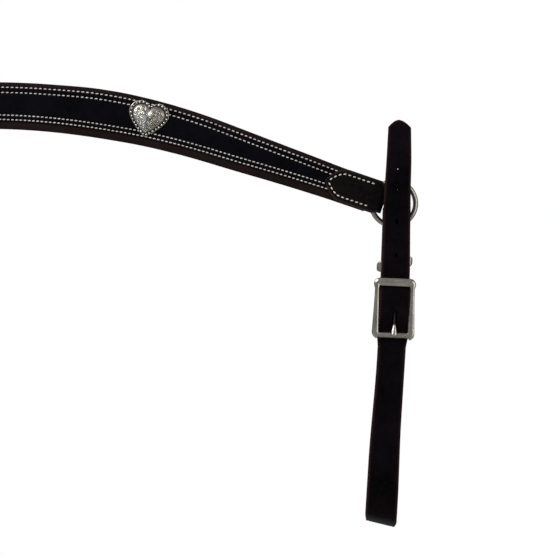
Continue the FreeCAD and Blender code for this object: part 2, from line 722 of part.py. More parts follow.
def centre_chape(name):
    """Strap folded over the dee's bar, both legs down over the band, ends round."""
    middle = body_thick / 2 + d.chape_thick / 2
    top = dee_bar_z() + middle
    low = d.width_middle / 2 - d.dee_chape_drop
    path = [(-middle, low - 1, 0), (-middle, top, middle), (middle, top, middle), (middle, low - 1, 0)]
    strap = ribbon(path, d.chape_thick, d.dee_chape_width)
    half = d.dee_chape_width / 2
    high = top + d.chape_thick
    spring = low + half * d.dee_chape_round
    edges = [Part.LineSegment(Vector(-half, 0, spring), Vector(-half, 0, high)).toShape(),
             Part.LineSegment(Vector(-half, 0, high), Vector(half, 0, high)).toShape(),
             Part.LineSegment(Vector(half, 0, high), Vector(half, 0, spring)).toShape(),
             Part.Arc(Vector(half, 0, spring), Vector(0, 0, low), Vector(-half, 0, spring)).toShape()]
    deep = 2 * body_thick + 4 * d.chape_thick
    outline = face_of(edges).extrude(Vector(0, deep, 0))
    outline.translate(Vector(0, -deep / 2, 0))
    piece = feature(name, strap.common(outline))
    piece.Placement = Placement(Vector(0, ring_plane, 0), Rotation())
    return piece


# ---------------------------------------------------------------- the whole collar

def mirror(name, source):
    piece = doc.addObject("Part::Mirroring", name)
    piece.Source = source
    piece.Normal = Vector(1, 0, 0)
    piece.Base = Vector(0, 0, 0)
    return piece


def build():
    layer("collar_lining", -d.lining_thick, d.lining_thick, 0, 0)
    layer("collar_base", -d.lining_thick - d.base_thick, d.base_thick, 0, 0)
    layer("collar_overlay", -body_thick, d.overlay_thick, d.margin_upper, d.margin_lower)
    centre_chape("centre_chape")
    centre_dee("centre_dee")
    x, z = concho_centre()
    heart_place = Placement(Vector(x, -body_thick, z), Rotation(Vector(0, 1, 0), d.concho_tilt))
    heart_concho("heart_concho_right", heart_place)
    concho_screw("concho_screw_right", x, z)
    ring("ring_right")
    end_chape("end_chape_right")
    tug_strap("tug_strap_right")
    tug_screw("tug_screw_post_right", "tug_screw_cap_right")
    keeper("keeper_right")
    buckle_frame("buckle_frame_right")
    roller("buckle_roller_right")
    tongue("buckle_tongue_right")


PAIRED = ("heart_concho", "concho_screw", "ring", "end_chape", "tug_strap", "tug_screw_post",
          "tug_screw_cap", "keeper", "buckle_frame", "buckle_roller", "buckle_tongue")
SINGLE = ("collar_lining", "collar_base", "collar_overlay", "centre_chape", "centre_dee")


def check_and_write():
    doc.recompute()
    for piece in doc.Objects:
        if "Invalid" in piece.State or "Error" in piece.State:
            raise RuntimeError("failed object: " + piece.Label)
    os.makedirs("parts", exist_ok=True)
    for name in nodes:
        shape = doc.getObject(name).Shape
        if shape.isNull() or not shape.isValid():
            raise RuntimeError("bad shape: " + name)
        print("%-24s solids %d volume %9.1f" % (name, len(shape.Solids), shape.Volume))
        shape.exportStep("parts/" + name + ".step")


build()
doc.recompute()
for pair in PAIRED:
    mirror(pair + "_left", doc.getObject(pair + "_right"))
nodes = list(SINGLE) + [pair + "_" + side for pair in PAIRED for side in sides]
for node in nodes:
    doc.getObject(node).Label = node
check_and_write()
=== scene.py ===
import math
import random

import bpy
from mathutils import Matrix, Vector

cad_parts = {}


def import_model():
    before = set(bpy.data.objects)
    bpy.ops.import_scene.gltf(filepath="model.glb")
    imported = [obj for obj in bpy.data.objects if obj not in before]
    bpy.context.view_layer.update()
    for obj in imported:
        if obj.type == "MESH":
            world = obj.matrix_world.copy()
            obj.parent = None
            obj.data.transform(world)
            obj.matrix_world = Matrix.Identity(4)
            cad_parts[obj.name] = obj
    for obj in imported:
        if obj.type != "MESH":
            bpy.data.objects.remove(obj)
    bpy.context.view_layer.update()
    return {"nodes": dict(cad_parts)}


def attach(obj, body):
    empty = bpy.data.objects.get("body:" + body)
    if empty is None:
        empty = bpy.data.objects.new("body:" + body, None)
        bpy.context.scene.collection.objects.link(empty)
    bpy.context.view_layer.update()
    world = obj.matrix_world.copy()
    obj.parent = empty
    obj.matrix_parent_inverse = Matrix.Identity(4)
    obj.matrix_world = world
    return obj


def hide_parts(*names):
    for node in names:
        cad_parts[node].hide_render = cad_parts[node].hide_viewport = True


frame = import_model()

mm = 0.001
random.seed(11)
print("stage: frame loaded,", len(frame["nodes"]), "nodes")


# working with pieces

def pick(piece):
    if bpy.context.mode != "OBJECT":
        bpy.ops.object.mode_set(mode="OBJECT")
    bpy.ops.object.select_all(action="DESELECT")
    if piece:
        piece.select_set(True)
        bpy.context.view_layer.objects.active = piece


def finishWith(piece, kind, **settings):
    pick(piece)
    modifier = piece.modifiers.new(kind.lower(), kind)
    for key, value in settings.items():
        setattr(modifier, key, value)
    bpy.ops.object.modifier_apply(modifier=modifier.name)


def cleanShell(piece, merge=1e-6):
    pick(piece)
    bpy.ops.object.mode_set(mode="EDIT")
    bpy.ops.mesh.select_all(action="SELECT")
    bpy.ops.mesh.remove_doubles(threshold=merge)
    bpy.ops.mesh.normals_make_consistent(inside=False)
    bpy.ops.object.mode_set(mode="OBJECT")


def smooth(piece, degrees):
    pick(piece)
    bpy.ops.object.shade_smooth_by_angle(angle=math.radians(degrees))


def joined(pieces, name):
    pick(pieces[0])
    for piece in pieces:
        piece.select_set(True)
    bpy.ops.object.join()
    pieces[0].name = name
    pieces[0].data.name = name
    return pieces[0]


def shownAs(piece, material, body, slot, *nodes):
    piece.data.materials.clear()
    piece.data.materials.append(material)
    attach(piece, body)
    if nodes:
        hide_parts(*nodes)
    return piece


def mirrored(piece, name):
    copy = piece.copy()
    copy.data = piece.data.copy()
    copy.name = copy.data.name = name
    bpy.context.collection.objects.link(copy)
    for vertex in copy.data.vertices:
        vertex.co.x = -vertex.co.x
    copy.data.flip_normals()
    return copy


def pair(piece, name, material, body, slot, *nodes):
    left = mirrored(piece, name + "Left")
    piece.name = piece.data.name = name + "Right"
    shownAs(piece, material, body.format("right"), slot, *[n + "_right" for n in nodes])
    shownAs(left, material, body.format("left"), slot, *[n + "_left" for n in nodes])


def ease(share):
    share = min(1.0, max(0.0, share))
    return share * share * (3 - 2 * share)


def mix(first, last, share):
    return first + (last - first) * share


def hump(value, middle, reach):
    return math.exp(-((value - middle) / reach) ** 2)


def circle(radius, count):
    spokes = [2 * math.pi * i / count for i in range(count)]
    return [(radius * math.cos(spoke), radius * math.sin(spoke)) for spoke in spokes]


# leather is cut flat, in millimetres, and then bent to its place

def blank(name, stations, rows, halfWidth, thick, rounding, segments=3):
    # rows run from -1 to 1 across; halfWidth gives (lower, upper) at a station
    pick(None)
    bpy.ops.mesh.primitive_grid_add(x_subdivisions=len(stations) - 1, y_subdivisions=len(rows) - 1, size=2)
    piece = bpy.context.object
    piece.name = piece.data.name = name
    for vertex in piece.data.vertices:
        along = stations[round((vertex.co.x + 1) / 2 * (len(stations) - 1))]
        row = rows[round((vertex.co.y + 1) / 2 * (len(rows) - 1))]
        lower, upper = halfWidth(along)
        vertex.co = (along, row * (upper if row > 0 else lower), 0)
    finishWith(piece, "SOLIDIFY", thickness=thick, offset=0, use_even_offset=True)
    finishWith(piece, "BEVEL", width=rounding, segments=segments, limit_method="ANGLE",
               angle_limit=math.radians(50))
    return piece


def punch(piece, cutters):
    tool = joined(cutters, piece.name + "Tool")
    finishWith(piece, "BOOLEAN", object=tool, operation="DIFFERENCE", solver="EXACT")
    bpy.data.objects.remove(tool, do_unlink=True)


def stadium(along, across, length, width, deep, behind=1.0):
    pick(None)
    bpy.ops.mesh.primitive_cylinder_add(vertices=24, radius=width / 2, depth=deep)
    cutter = bpy.context.object
    stretch = (length - width) / 2
    for vertex in cutter.data.vertices:
        side = 1 if vertex.co.x > 1e-4 else -1 if vertex.co.x < -1e-4 else 0
        if vertex.co.z < 0:
            vertex.co.x *= behind
            vertex.co.y *= behind
        vertex.co.x += side * stretch + along
        vertex.co.y += across
    return cutter


def markFlat(piece, halfWidth, ends, reach):
    # the cut edge's burnish as an attribute, and the flat pattern as a UV map
    mesh = piece.data
    edge = mesh.attributes.new("edge", "FLOAT", "POINT")
    for vertex, item in zip(mesh.vertices, edge.data):
        lower, upper = halfWidth(vertex.co.x)
        inside = min(upper - vertex.co.y, vertex.co.y + lower, vertex.co.x - ends[0],
                     ends[1] - vertex.co.x)
        item.value = min(1.0, max(0.0, 1 - inside / reach))
    flat = mesh.uv_layers.new(name="flat") if not mesh.uv_layers else mesh.uv_layers[0]
    flat.name = "flat"
    for loop in mesh.loops:
        co = mesh.vertices[loop.vertex_index].co
        flat.data[loop.index].uv = (co.x * mm, co.y * mm)


def bent(piece, place):
    for vertex in piece.data.vertices:
        vertex.co = place(*vertex.co)
    cleanShell(piece)
    smooth(piece, 40)
    return piece


def roundedRoute(corners):
    # straight runs joined by tangent arcs, through corners of (a, b, radius)
    points = [Vector(corner[:2]) for corner in corners]
    runs = []
    start = points[0]
    for before, corner, after, spec in zip(points, points[1:], points[2:], corners[1:]):
        towards = (before - corner).normalized()
        away = (after - corner).normalized()
        half = towards.angle(away) / 2
        reach = spec[2] / math.tan(half)
        first = corner + towards * reach
        centre = corner + (towards + away).normalized() * (spec[2] / math.sin(half))
        turn = math.pi - 2 * half
        side = 1 if towards.x * away.y - towards.y * away.x < 0 else -1
        if (first - start).length > 1e-6:
            runs.append(("run", (first - start).length, start, first))
        runs.append(("arc", spec[2] * turn, centre, first - centre, side * turn))
        start = corner + away * reach
    runs.append(("run", (points[-1] - start).length, start, points[-1]))
    return runs


def turned(vector, angle):
    cos, sin = math.cos(angle), math.sin(angle)
    return Vector((vector.x * cos - vector.y * sin, vector.x * sin + vector.y * cos))


def routeAt(route, distance):
    # point and direction of travel at a distance along the route
    for run in route:
        if distance <= run[1] or run is route[-1]:
            break
        distance -= run[1]
    if run[0] == "run":
        direction = (run[3] - run[2]).normalized()
        return run[2] + direction * distance, direction
    share = distance / run[1]
    spoke = turned(run[3], run[4] * share)
    return run[2] + spoke, turned(spoke, math.copysign(math.pi / 2, run[4])).normalized()


def routeLength(route):
    return sum(run[1] for run in route)


def noseStations(length, count):
    # stations that crowd towards a rounded tip
    return [length * (1 - math.cos(math.pi / 2 * k / count)) for k in range(count + 1)]


def between(stations, low, high):
    return [station for station in stations if low + 1 < station < high - 1]


def routeStations(route, spacing, step):
    # a station every spacing along the runs and every step degrees round the arcs
    stations = [0.0]
    for run in route:
        count = math.ceil(run[1] / spacing)
        if run[0] == "arc":
            count = max(count, math.ceil(abs(math.degrees(run[4])) / step))
        begin = stations[-1]
        stations += [begin + run[1] * k / count for k in range(1, count + 1)]
    return stations


# hoops, rods and turned pieces

def hoop(name, path, section, place, sides=16):
    # a closed loop: path is (a, b) points, section gives (half wide, half deep, squareness)
    count = len(path)
    pick(None)
    bpy.ops.mesh.primitive_torus_add(major_segments=count, minor_segments=sides, major_radius=2,
                                     minor_radius=1)
    piece = bpy.context.object
    normals = []
    for i in range(count):
        along = (Vector(path[(i + 1) % count]) - Vector(path[i - 1])).normalized()
        normals.append(Vector((along.y, -along.x)))
    for vertex in piece.data.vertices:
        i = round(math.atan2(vertex.co.y, vertex.co.x) / (2 * math.pi) * count) % count
        angle = math.atan2(vertex.co.z, math.hypot(vertex.co.x, vertex.co.y) - 2)
        wide, deep, power = section(i / count)
        out = wide * math.copysign(abs(math.cos(angle)) ** power, math.cos(angle))
        up = deep * math.copysign(abs(math.sin(angle)) ** power, math.sin(angle))
        point = Vector(path[i]) + normals[i] * out
        vertex.co = place(point.x, point.y, up)
    cleanShell(piece)
    piece.name = piece.data.name = name
    return piece


def turnedPiece(name, profile, place, sides=28):
    # profile is (radius, height) from pole to pole
    pick(None)
    bpy.ops.mesh.primitive_uv_sphere_add(segments=sides, ring_count=len(profile) - 1, radius=1)
    piece = bpy.context.object
    for vertex in piece.data.vertices:
        k = round(math.acos(max(-1, min(1, vertex.co.z))) / math.pi * (len(profile) - 1))
        angle = math.atan2(vertex.co.y, vertex.co.x)
        radius, height = profile[k]
        vertex.co = place(radius * math.cos(angle), radius * math.sin(angle), height)
    cleanShell(piece)
    piece.name = piece.data.name = name
    return piece


def rod(name, spine, sides=20):
    # spine is (point, half wide, half deep, wide axis, deep axis) from end to end
    pick(None)
    bpy.ops.mesh.primitive_uv_sphere_add(segments=sides, ring_count=len(spine) - 1, radius=1)
    piece = bpy.context.object
    for vertex in piece.data.vertices:
        k = round(math.acos(max(-1, min(1, vertex.co.z))) / math.pi * (len(spine) - 1))
        angle = math.atan2(vertex.co.y, vertex.co.x)
        point, wide, deep, side, front = spine[k]
        vertex.co = point + side * (wide * math.cos(angle)) + front * (deep * math.sin(angle))
    cleanShell(piece)
    piece.name = piece.data.name = name
    return piece


def roundedLoop(corners, count):
    # a closed loop of rounded corners (a, b, radius), as evenly spaced points
    middle = (Vector(corners[0][:2]) + Vector(corners[-1][:2])) / 2
    route = roundedRoute([(middle.x, middle.y, 0)] + list(corners) + [(middle.x, middle.y, 0)])
    total = routeLength(route)
    return [tuple(routeAt(route, total * i / count)[0]) for i in range(count)]


# stitching

stitchLook = {"pitch": 4.15, "length": 2.6, "thick": 1.1, "dip": 0.30, "slant": 6.0, "jitter": 0.07}


def stitchMesh(name, places, place, size=1.0):
    # every stitch is one small capsule laid flat at (along, across, height, angle) and bent too
    pick(None)
    bpy.ops.mesh.primitive_uv_sphere_add(segments=8, ring_count=6, radius=1)
    stitch = bpy.context.object
    shape = [Vector((v.co.z, v.co.y, v.co.x)) for v in stitch.data.vertices]
    faces = [tuple(reversed(face.vertices)) for face in stitch.data.polygons]
    bpy.data.objects.remove(stitch, do_unlink=True)
    points = []
    polygons = []
    for along, across, height, angle in places:
        slant = angle + math.radians(stitchLook["slant"] + random.uniform(-3, 3))
        half = stitchLook["length"] / 2 * size * (1 + random.uniform(-1, 1) * stitchLook["jitter"])
        thick = stitchLook["thick"] / 2 * size
        first = len(points)
        for co in shape:
            x = half * math.copysign(abs(co.x) ** 0.8, co.x)
            flat = turned(Vector((x, thick * co.y)), slant)
            sink = stitchLook["dip"] * co.x * co.x * math.copysign(1, height)
            points.append(place(along + flat.x, across + flat.y, height + thick * 0.8 * co.z - sink))
        polygons += [tuple(first + index for index in face) for face in faces]
    mesh = bpy.data.meshes.new(name)
    mesh.from_pydata([tuple(point) for point in points], [], polygons)
    piece = bpy.data.objects.new(name, mesh)
    bpy.context.collection.objects.link(piece)
    cleanShell(piece)
    smooth(piece, 60)
    return piece


def rowPlaces(line, pitch, height):
    # stitches evenly along a flat polyline of (along, across)
    lengths = [(Vector(b) - Vector(a)).length for a, b in zip(line, line[1:])]
    total = sum(lengths)
    count = max(1, round(total / pitch))
    places = []
    for n in range(count):
        rest = (n + 0.5) * total / count
        for a, b, length in zip(line, line[1:], lengths):
            if rest <= length:
                break
            rest -= length
        a, b = Vector(a), Vector(b)
        point = a + (b - a) * (rest / length)
        places.append((point.x, point.y, height, math.atan2(b.y - a.y, b.x - a.x)))
    return places


# materials

class Nodes:
    def __init__(self, name):
        self.material = bpy.data.materials.new(name)
        self.material.use_nodes = True
        self.tree = self.material.node_tree
        self.shader = self.tree.nodes["Principled BSDF"]
        self.coords = self.tree.nodes.new("ShaderNodeTexCoord")

    def add(self, kind, **inputs):
        node = self.tree.nodes.new(kind)
        for key, value in inputs.items():
            self.feed(node.inputs[key.replace("_", " ")], value)
        return node

    def feed(self, socket, value):
        if isinstance(value, bpy.types.NodeSocket):
            self.tree.links.new(value, socket)
        else:
            socket.default_value = value

    def noise(self, scale, detail=3, rough=0.55, vector=None):
        node = self.add("ShaderNodeTexNoise", Scale=scale, Detail=detail, Roughness=rough)
        self.feed(node.inputs["Vector"], vector or self.coords.outputs["Object"])
        return node.outputs["Fac"]

    def cells(self, scale, vector=None):
        node = self.add("ShaderNodeTexVoronoi", Scale=scale)
        node.feature = "SMOOTH_F1"
        self.feed(node.inputs["Vector"], vector or self.coords.outputs["Object"])
        return node.outputs["Distance"]

    def attribute(self, name):
        node = self.tree.nodes.new("ShaderNodeAttribute")
        node.attribute_name = name
        return node.outputs["Fac"]

    def ramp(self, value, low, high, first=0.0, last=1.0):
        node = self.add("ShaderNodeMapRange")
        for socket, number in zip(("Value", "From Min", "From Max", "To Min", "To Max"),
                                  (value, low, high, first, last)):
            self.feed(node.inputs[socket], number)
        return node.outputs["Result"]

    def sum(self, operation, a, b):
        node = self.tree.nodes.new("ShaderNodeMath")
        node.operation = operation
        self.feed(node.inputs[0], a)
        self.feed(node.inputs[1], b)
        return node.outputs["Value"]

    def blend(self, share, first, last):
        node = self.tree.nodes.new("ShaderNodeMix")
        node.data_type = "RGBA"
        self.feed(node.inputs[0], share)
        self.feed(node.inputs[6], first)
        self.feed(node.inputs[7], last)
        return node.outputs[2]

    def bump(self, height, strength, distance, under=None):
        node = self.add("ShaderNodeBump", Strength=strength, Distance=distance, Height=height)
        if under:
            self.feed(node.inputs["Normal"], under)
        return node.outputs["Normal"]

    def stretched(self, scale, turn=(0, 0, 0)):
        node = self.add("ShaderNodeMapping", Vector=self.coords.outputs["Object"])
        node.inputs["Scale"].default_value = scale
        node.inputs["Rotation"].default_value = turn
        return node.outputs["Vector"]


def rgb(red, green, blue):
    return (red, green, blue, 1.0)


def leather(name, look):
    n = Nodes(name)
    blotch = n.ramp(n.noise(26, 4, 0.6), 0.36, 0.66)
    mottle = n.ramp(n.noise(260, 4, 0.65), 0.38, 0.66)
    pores = n.cells(look["grain"])
    fibre = n.noise(3200, 3, 0.7)
    colour = n.blend(blotch, look["dark"], look["light"])
    colour = n.blend(n.sum("MULTIPLY", mottle, look["mottle"]), colour, look["tone"])
    pit = n.ramp(pores, 0.05, 0.35, 0.35, 0.0)
    colour = n.blend(n.sum("MULTIPLY", pit, 0.6), colour, rgb(0.001, 0.001, 0.0012))
    burnish = n.sum("MULTIPLY", n.attribute("edge"), n.ramp(n.noise(90, 3), 0.3, 0.62, 0.55, 1.0))
    colour = n.blend(burnish, colour, look["edge"])
    rubbed = n.noise(0, 4, 0.7, n.stretched((300, 300, 90), (0, 0.6, 0)))
    scuff = n.ramp(rubbed, 0.66, 0.78, 0.0, look["scuff"])
    colour = n.blend(scuff, colour, look["worn"])
    n.feed(n.shader.inputs["Base Color"], colour)
    rough = n.ramp(n.noise(120, 4, 0.7), 0.3, 0.7, *look["rough"])
    n.feed(n.shader.inputs["Roughness"], rough)
    if "folded" in look:
        # worn smooth where it folds
        gloss = n.ramp(n.attribute("fold"), 0, 1, look["gloss"], look["folded"])
        n.feed(n.shader.inputs["Specular IOR Level"], gloss)
    else:
        n.shader.inputs["Specular IOR Level"].default_value = look["gloss"]
    relief = n.sum("ADD", n.sum("MULTIPLY", pores, 0.7), n.sum("MULTIPLY", fibre, 0.3))
    wrinkle = n.bump(n.noise(70, 3, 0.6), 0.25, 0.0012)
    n.feed(n.shader.inputs["Normal"], n.bump(relief, look["bump"], 0.00035, wrinkle))
    return n.material


def suede(name, look):
    n = Nodes(name)
    nap = n.noise(1500, 5, 0.75)
    patch = n.ramp(n.noise(30, 4, 0.6), 0.35, 0.65)
    colour = n.blend(patch, look["dark"], look["light"])
    colour = n.blend(n.ramp(nap, 0.4, 0.7, 0.0, 0.5), colour, look["tone"])
    colour = n.blend(n.attribute("edge"), colour, look["edge"])
    n.feed(n.shader.inputs["Base Color"], colour)
    n.feed(n.shader.inputs["Roughness"], n.ramp(nap, 0.3, 0.7, 0.72, 0.95))
    n.shader.inputs["Sheen Weight"].default_value = 0.25
    n.shader.inputs["Sheen Roughness"].default_value = 0.5
    n.feed(n.shader.inputs["Normal"], n.bump(nap, 0.5, 0.0005))
    return n.material


def metal(name, look):
    n = Nodes(name)
    tarnishAndShade = n.ramp(n.noise(look["patch"], 4, 0.65), 0.42, 0.72, 0.0, look["tarnishAndShade"])
    # painted shade: the concho's side mask darkens the metal along with the random tarnish
    tarnishAndShade = n.sum("MAXIMUM", tarnishAndShade, n.attribute("agedAndShaded"))
    # real patina in the concho's hollows, and painted shade on the buckle tongue
    hollowsAndShade = n.attribute("hollowsAndShade")
    colour = n.blend(tarnishAndShade, look["colour"], look["agedAndShaded"])
    colour = n.blend(n.ramp(hollowsAndShade, 0.15, 0.8, 0.0, look["patinaAndShade"]), colour, look["deep"])
    n.feed(n.shader.inputs["Base Color"], colour)
    n.shader.inputs["Metallic"].default_value = 1.0
    smear = n.ramp(n.noise(300, 5, 0.75), 0.3, 0.75, *look["rough"])
    n.feed(n.shader.inputs["Roughness"], n.sum("ADD", smear, n.sum("MULTIPLY", hollowsAndShade, 0.25)))
    scratch = n.noise(1, 3, 0.7, n.stretched((2600, 2600, 260), (0.3, 0.5, 0.2)))
    dents = n.noise(look["dents"], 3, 0.5)
    fine = n.bump(scratch, look["scratch"], 0.00006)
    n.feed(n.shader.inputs["Normal"], n.bump(dents, look["bump"], 0.0004, fine))
    return n.material


def thread(name):
    n = Nodes(name)
    grimeAndShade = n.ramp(n.noise(45, 4, 0.6), 0.36, 0.7)
    twist = n.noise(1, 2, 0.5, n.stretched((3800, 900, 2400), (0, 0.7, 0)))
    colour = n.blend(grimeAndShade, rgb(0.80, 0.77, 0.70), rgb(0.52, 0.48, 0.41))
    colour = n.blend(n.ramp(twist, 0.55, 0.75, 0.0, 0.45), colour, rgb(0.34, 0.30, 0.25))
    n.feed(n.shader.inputs["Base Color"], colour)
    n.feed(n.shader.inputs["Roughness"], n.ramp(twist, 0.3, 0.7, 0.5, 0.72))
    n.shader.inputs["Sheen Weight"].default_value = 0.2
    n.feed(n.shader.inputs["Normal"], n.bump(twist, 0.6, 0.00015))
    return n.material


overlayLeather = leather("overlayLeather", {
    "dark": rgb(0.0010, 0.0009, 0.0018), "light": rgb(0.0030, 0.0027, 0.0052),
    "tone": rgb(0.0044, 0.0036, 0.0046), "edge": rgb(0.0110, 0.0070, 0.0075),
    "worn": rgb(0.020, 0.019, 0.023), "mottle": 0.5, "scuff": 0.25,
    "grain": 1150, "rough": (0.40, 0.60), "gloss": 0.03, "bump": 0.35})
baseLeather = leather("baseLeather", {
    "dark": rgb(0.0080, 0.0036, 0.0040), "light": rgb(0.0170, 0.0085, 0.0088),
    "tone": rgb(0.0150, 0.0110, 0.0112), "edge": rgb(0.0060, 0.0030, 0.0032),
    "worn": rgb(0.040, 0.026, 0.024), "mottle": 0.5, "scuff": 0.35,
    "grain": 1250, "rough": (0.40, 0.60), "gloss": 0.06, "bump": 0.35})
strapLeather = leather("strapLeather", {
    "dark": rgb(0.0005, 0.0004, 0.0007), "light": rgb(0.0048, 0.0034, 0.0056),
    "tone": rgb(0.0068, 0.0036, 0.0044), "edge": rgb(0.0340, 0.0160, 0.0140),
    "worn": rgb(0.030, 0.022, 0.021), "mottle": 0.5, "scuff": 0.3,
    "grain": 1050, "rough": (0.34, 0.56), "gloss": 0.03, "folded": 0.5, "bump": 0.35})
chapeLeather = leather("chapeLeather", {
    "dark": rgb(0.0014, 0.0011, 0.0015), "light": rgb(0.0062, 0.0045, 0.0048),
    "tone": rgb(0.0110, 0.0076, 0.0074), "edge": rgb(0.0480, 0.0360, 0.0330),
    "worn": rgb(0.034, 0.027, 0.026), "mottle": 0.6, "scuff": 0.3,
    "grain": 1100, "rough": (0.42, 0.62), "gloss": 0.03, "bump": 0.35})
liningLeather = suede("liningLeather", {
    "dark": rgb(0.070, 0.040, 0.026), "light": rgb(0.115, 0.068, 0.044), "tone": rgb(0.165, 0.105, 0.070),
    "edge": rgb(0.030, 0.016, 0.012)})
nickel = metal("nickel", {
    "colour": rgb(0.46, 0.44, 0.385), "agedAndShaded": rgb(0.27, 0.25, 0.20), "deep": rgb(0.012, 0.010, 0.008),
    "patch": 60, "tarnishAndShade": 0.7, "patinaAndShade": 0.97, "rough": (0.18, 0.40), "scratch": 0.25,
    "dents": 160, "bump": 0.12})
rollerSteel = metal("rollerSteel", {
    "colour": rgb(0.36, 0.34, 0.30), "agedAndShaded": rgb(0.20, 0.18, 0.15), "deep": rgb(0.05, 0.045, 0.04),
    "patch": 120, "tarnishAndShade": 0.8, "patinaAndShade": 0.8, "rough": (0.30, 0.50), "scratch": 0.4,
    "dents": 300, "bump": 0.2})
antiqueSilver = metal("antiqueSilver", {
    "colour": rgb(0.86, 0.85, 0.80), "agedAndShaded": rgb(0.30, 0.27, 0.20), "deep": rgb(0.018, 0.014, 0.011),
    "patch": 90, "tarnishAndShade": 0.6, "patinaAndShade": 0.95, "rough": (0.20, 0.40), "scratch": 0.3,
    "dents": 420, "bump": 0.25})
threadCream = thread("threadCream")
print("stage: materials")


# the band

bandSize = {"straight": 15.0, "bend": 650.0, "turn": 18.9, "end": 371.0, "ring": 394.0,
            "middle": 41.7, "widest": 43.4, "narrow": 31.0, "widestAt": 135.0, "narrowAt": 340.0,
            "lining": 1.4, "base": 2.2, "overlay": 1.4, "upperMargin": 3.6, "lowerMargin": 7.2,
            "upperRows": (4.7, 9.4), "lowerRows": (8.6, 12.6), "rowsEnd": 342.0, "lowerPitch": 0.93,
            "groove": 0.28, "grooveReach": 0.8, "spacing": 3.0, "burnish": 1.1}
# the leather is never dead flat: how far it swells, and the lengths of its waves along and across
longWave = {"height": 0.11, "along": 31.0, "across": 17.0}
shortWave = {"height": 0.08, "along": 11.0, "across": 9.0}
# hand cut, so not quite even
upperSwell = {"height": 0.85, "from": 70.0, "over": 45.0, "until": 360.0, "fading": 60.0}
lowerHumps = [(0.45, 0, 70), (-0.4, 150, 30), (0.55, 240, 40)]
turnAngle = math.radians(bandSize["turn"])
bandThick = bandSize["lining"] + bandSize["base"] + bandSize["overlay"]
ringPlane = -bandThick / 2


def centreline(distance):
    past = distance - bandSize["straight"]
    if past <= 0:
        return distance, 0.0, 0.0
    angle = min(past, bandSize["bend"] * turnAngle) / bandSize["bend"]
    run = max(0.0, past - bandSize["bend"] * turnAngle)
    x = bandSize["straight"] + bandSize["bend"] * math.sin(angle) + run * math.cos(angle)
    z = -bandSize["bend"] * (1 - math.cos(angle)) - run * math.sin(angle)
    return x, z, angle


def bandWidth(distance):
    if distance <= bandSize["widestAt"]:
        gained = bandSize["widest"] - bandSize["middle"]
        return bandSize["middle"] + gained * ease(distance / bandSize["widestAt"])
    share = min(1.0, (distance - bandSize["widestAt"]) / (bandSize["narrowAt"] - bandSize["widestAt"]))
    return bandSize["widest"] + (bandSize["narrow"] - bandSize["widest"]) * (share + ease(share)) / 2


def swell(along, across):
    slow = math.sin(along / longWave["along"]) * math.cos(across / longWave["across"])
    quick = math.sin(along / shortWave["along"] + across / shortWave["across"])
    return longWave["height"] * slow + shortWave["height"] * quick


def onBand(front):
    # places flat leather on the band, its middle depth at a given Y
    def place(along, across, height):
        x, z, angle = centreline(abs(along))
        x += across * math.sin(angle)
        z += across * math.cos(angle)
        y = front - height - swell(along, across)
        if along:
            x = math.copysign(x, along)
        return Vector((x * mm, y * mm, z * mm))
    return place


def bandEdges(along):
    # lower and upper edge from the centreline
    along = abs(along)
    half = bandWidth(along) / 2
    upper = upperSwell["height"] * ease((along - upperSwell["from"]) / upperSwell["over"])
    upper *= ease((upperSwell["until"] - along) / upperSwell["fading"])
    lower = sum(height * hump(along, middle, reach) for height, middle, reach in lowerHumps)
    return half + lower, half + upper


def bandHalf(upperInset, lowerInset):
    def half(along):
        lower, upper = bandEdges(along)
        return lower - lowerInset, upper - upperInset
    return half


def bandLayer(name, depth, thick, upperInset, lowerInset, rounding, grooves=False):
    end = bandSize["end"]
    count = round(2 * end / bandSize["spacing"])
    stations = [-end + 2 * end * k / count for k in range(count + 1)]
    half = bandHalf(upperInset, lowerInset)
    rows = [-1 + k / 8 for k in range(17)]
    if grooves:
        # closer rows where the stitches pull the leather in
        rows = [-1 + f / 20 for f in (0, 1, 1.7, 2.4, 3.3, 4.5, 6, 7, 7.7, 8.4, 9.4, 12, 15, 18)]
        rows += [-row for row in reversed(rows)]
    piece = blank(name, stations, rows, half, thick, rounding)
    for vertex in piece.data.vertices:
        if grooves and vertex.co.z > thick / 5:
            low, high = bandEdges(vertex.co.x)
            pull = 0.0
            for row in bandSize["upperRows"]:
                pull += hump(high - vertex.co.y, row, bandSize["grooveReach"])
            for row in bandSize["lowerRows"]:
                pull += hump(vertex.co.y + low, row, bandSize["grooveReach"])
            vertex.co.z -= bandSize["groove"] * pull
    markFlat(piece, half, (-end, end), bandSize["burnish"])
    return bent(piece, onBand(depth))


lining = bandLayer("bandLining", -bandSize["lining"] / 2, bandSize["lining"], 0.15, 0.15, 0.35)
base = bandLayer("bandBase", -bandSize["lining"] - bandSize["base"] / 2, bandSize["base"], 0, 0, 0.7)
overlay = bandLayer("bandOverlay", -bandThick + bandSize["overlay"] / 2, bandSize["overlay"],
                    bandSize["upperMargin"], bandSize["lowerMargin"], 0.5, grooves=True)
shownAs(lining, liningLeather, "collar", "lining_leather", "collar_lining")
shownAs(base, baseLeather, "collar", "base_leather", "collar_base")
shownAs(overlay, overlayLeather, "collar", "overlay_leather", "collar_overlay")


def bandRows(height):
    places = []
    steps = 57
    alongs = [bandSize["rowsEnd"] * step / steps for step in range(-steps, steps + 1)]
    for row in bandSize["upperRows"]:
        line = [(along, bandEdges(along)[1] - row) for along in alongs]
        places += rowPlaces(line, stitchLook["pitch"], height)
    for row in bandSize["lowerRows"]:
        line = [(along, row - bandEdges(along)[0]) for along in alongs]
        places += rowPlaces(line, stitchLook["pitch"] * bandSize["lowerPitch"], height)
    return places


frontStitches = stitchMesh("bandStitches", bandRows(bandThick + 0.02), onBand(0))
backStitches = stitchMesh("liningStitches", bandRows(-0.05), onBand(0))
shownAs(frontStitches, threadCream, "collar", "thread")
shownAs(backStitches, threadCream, "collar", "thread")
print("stage: band and its stitching")


# end chapes and rings

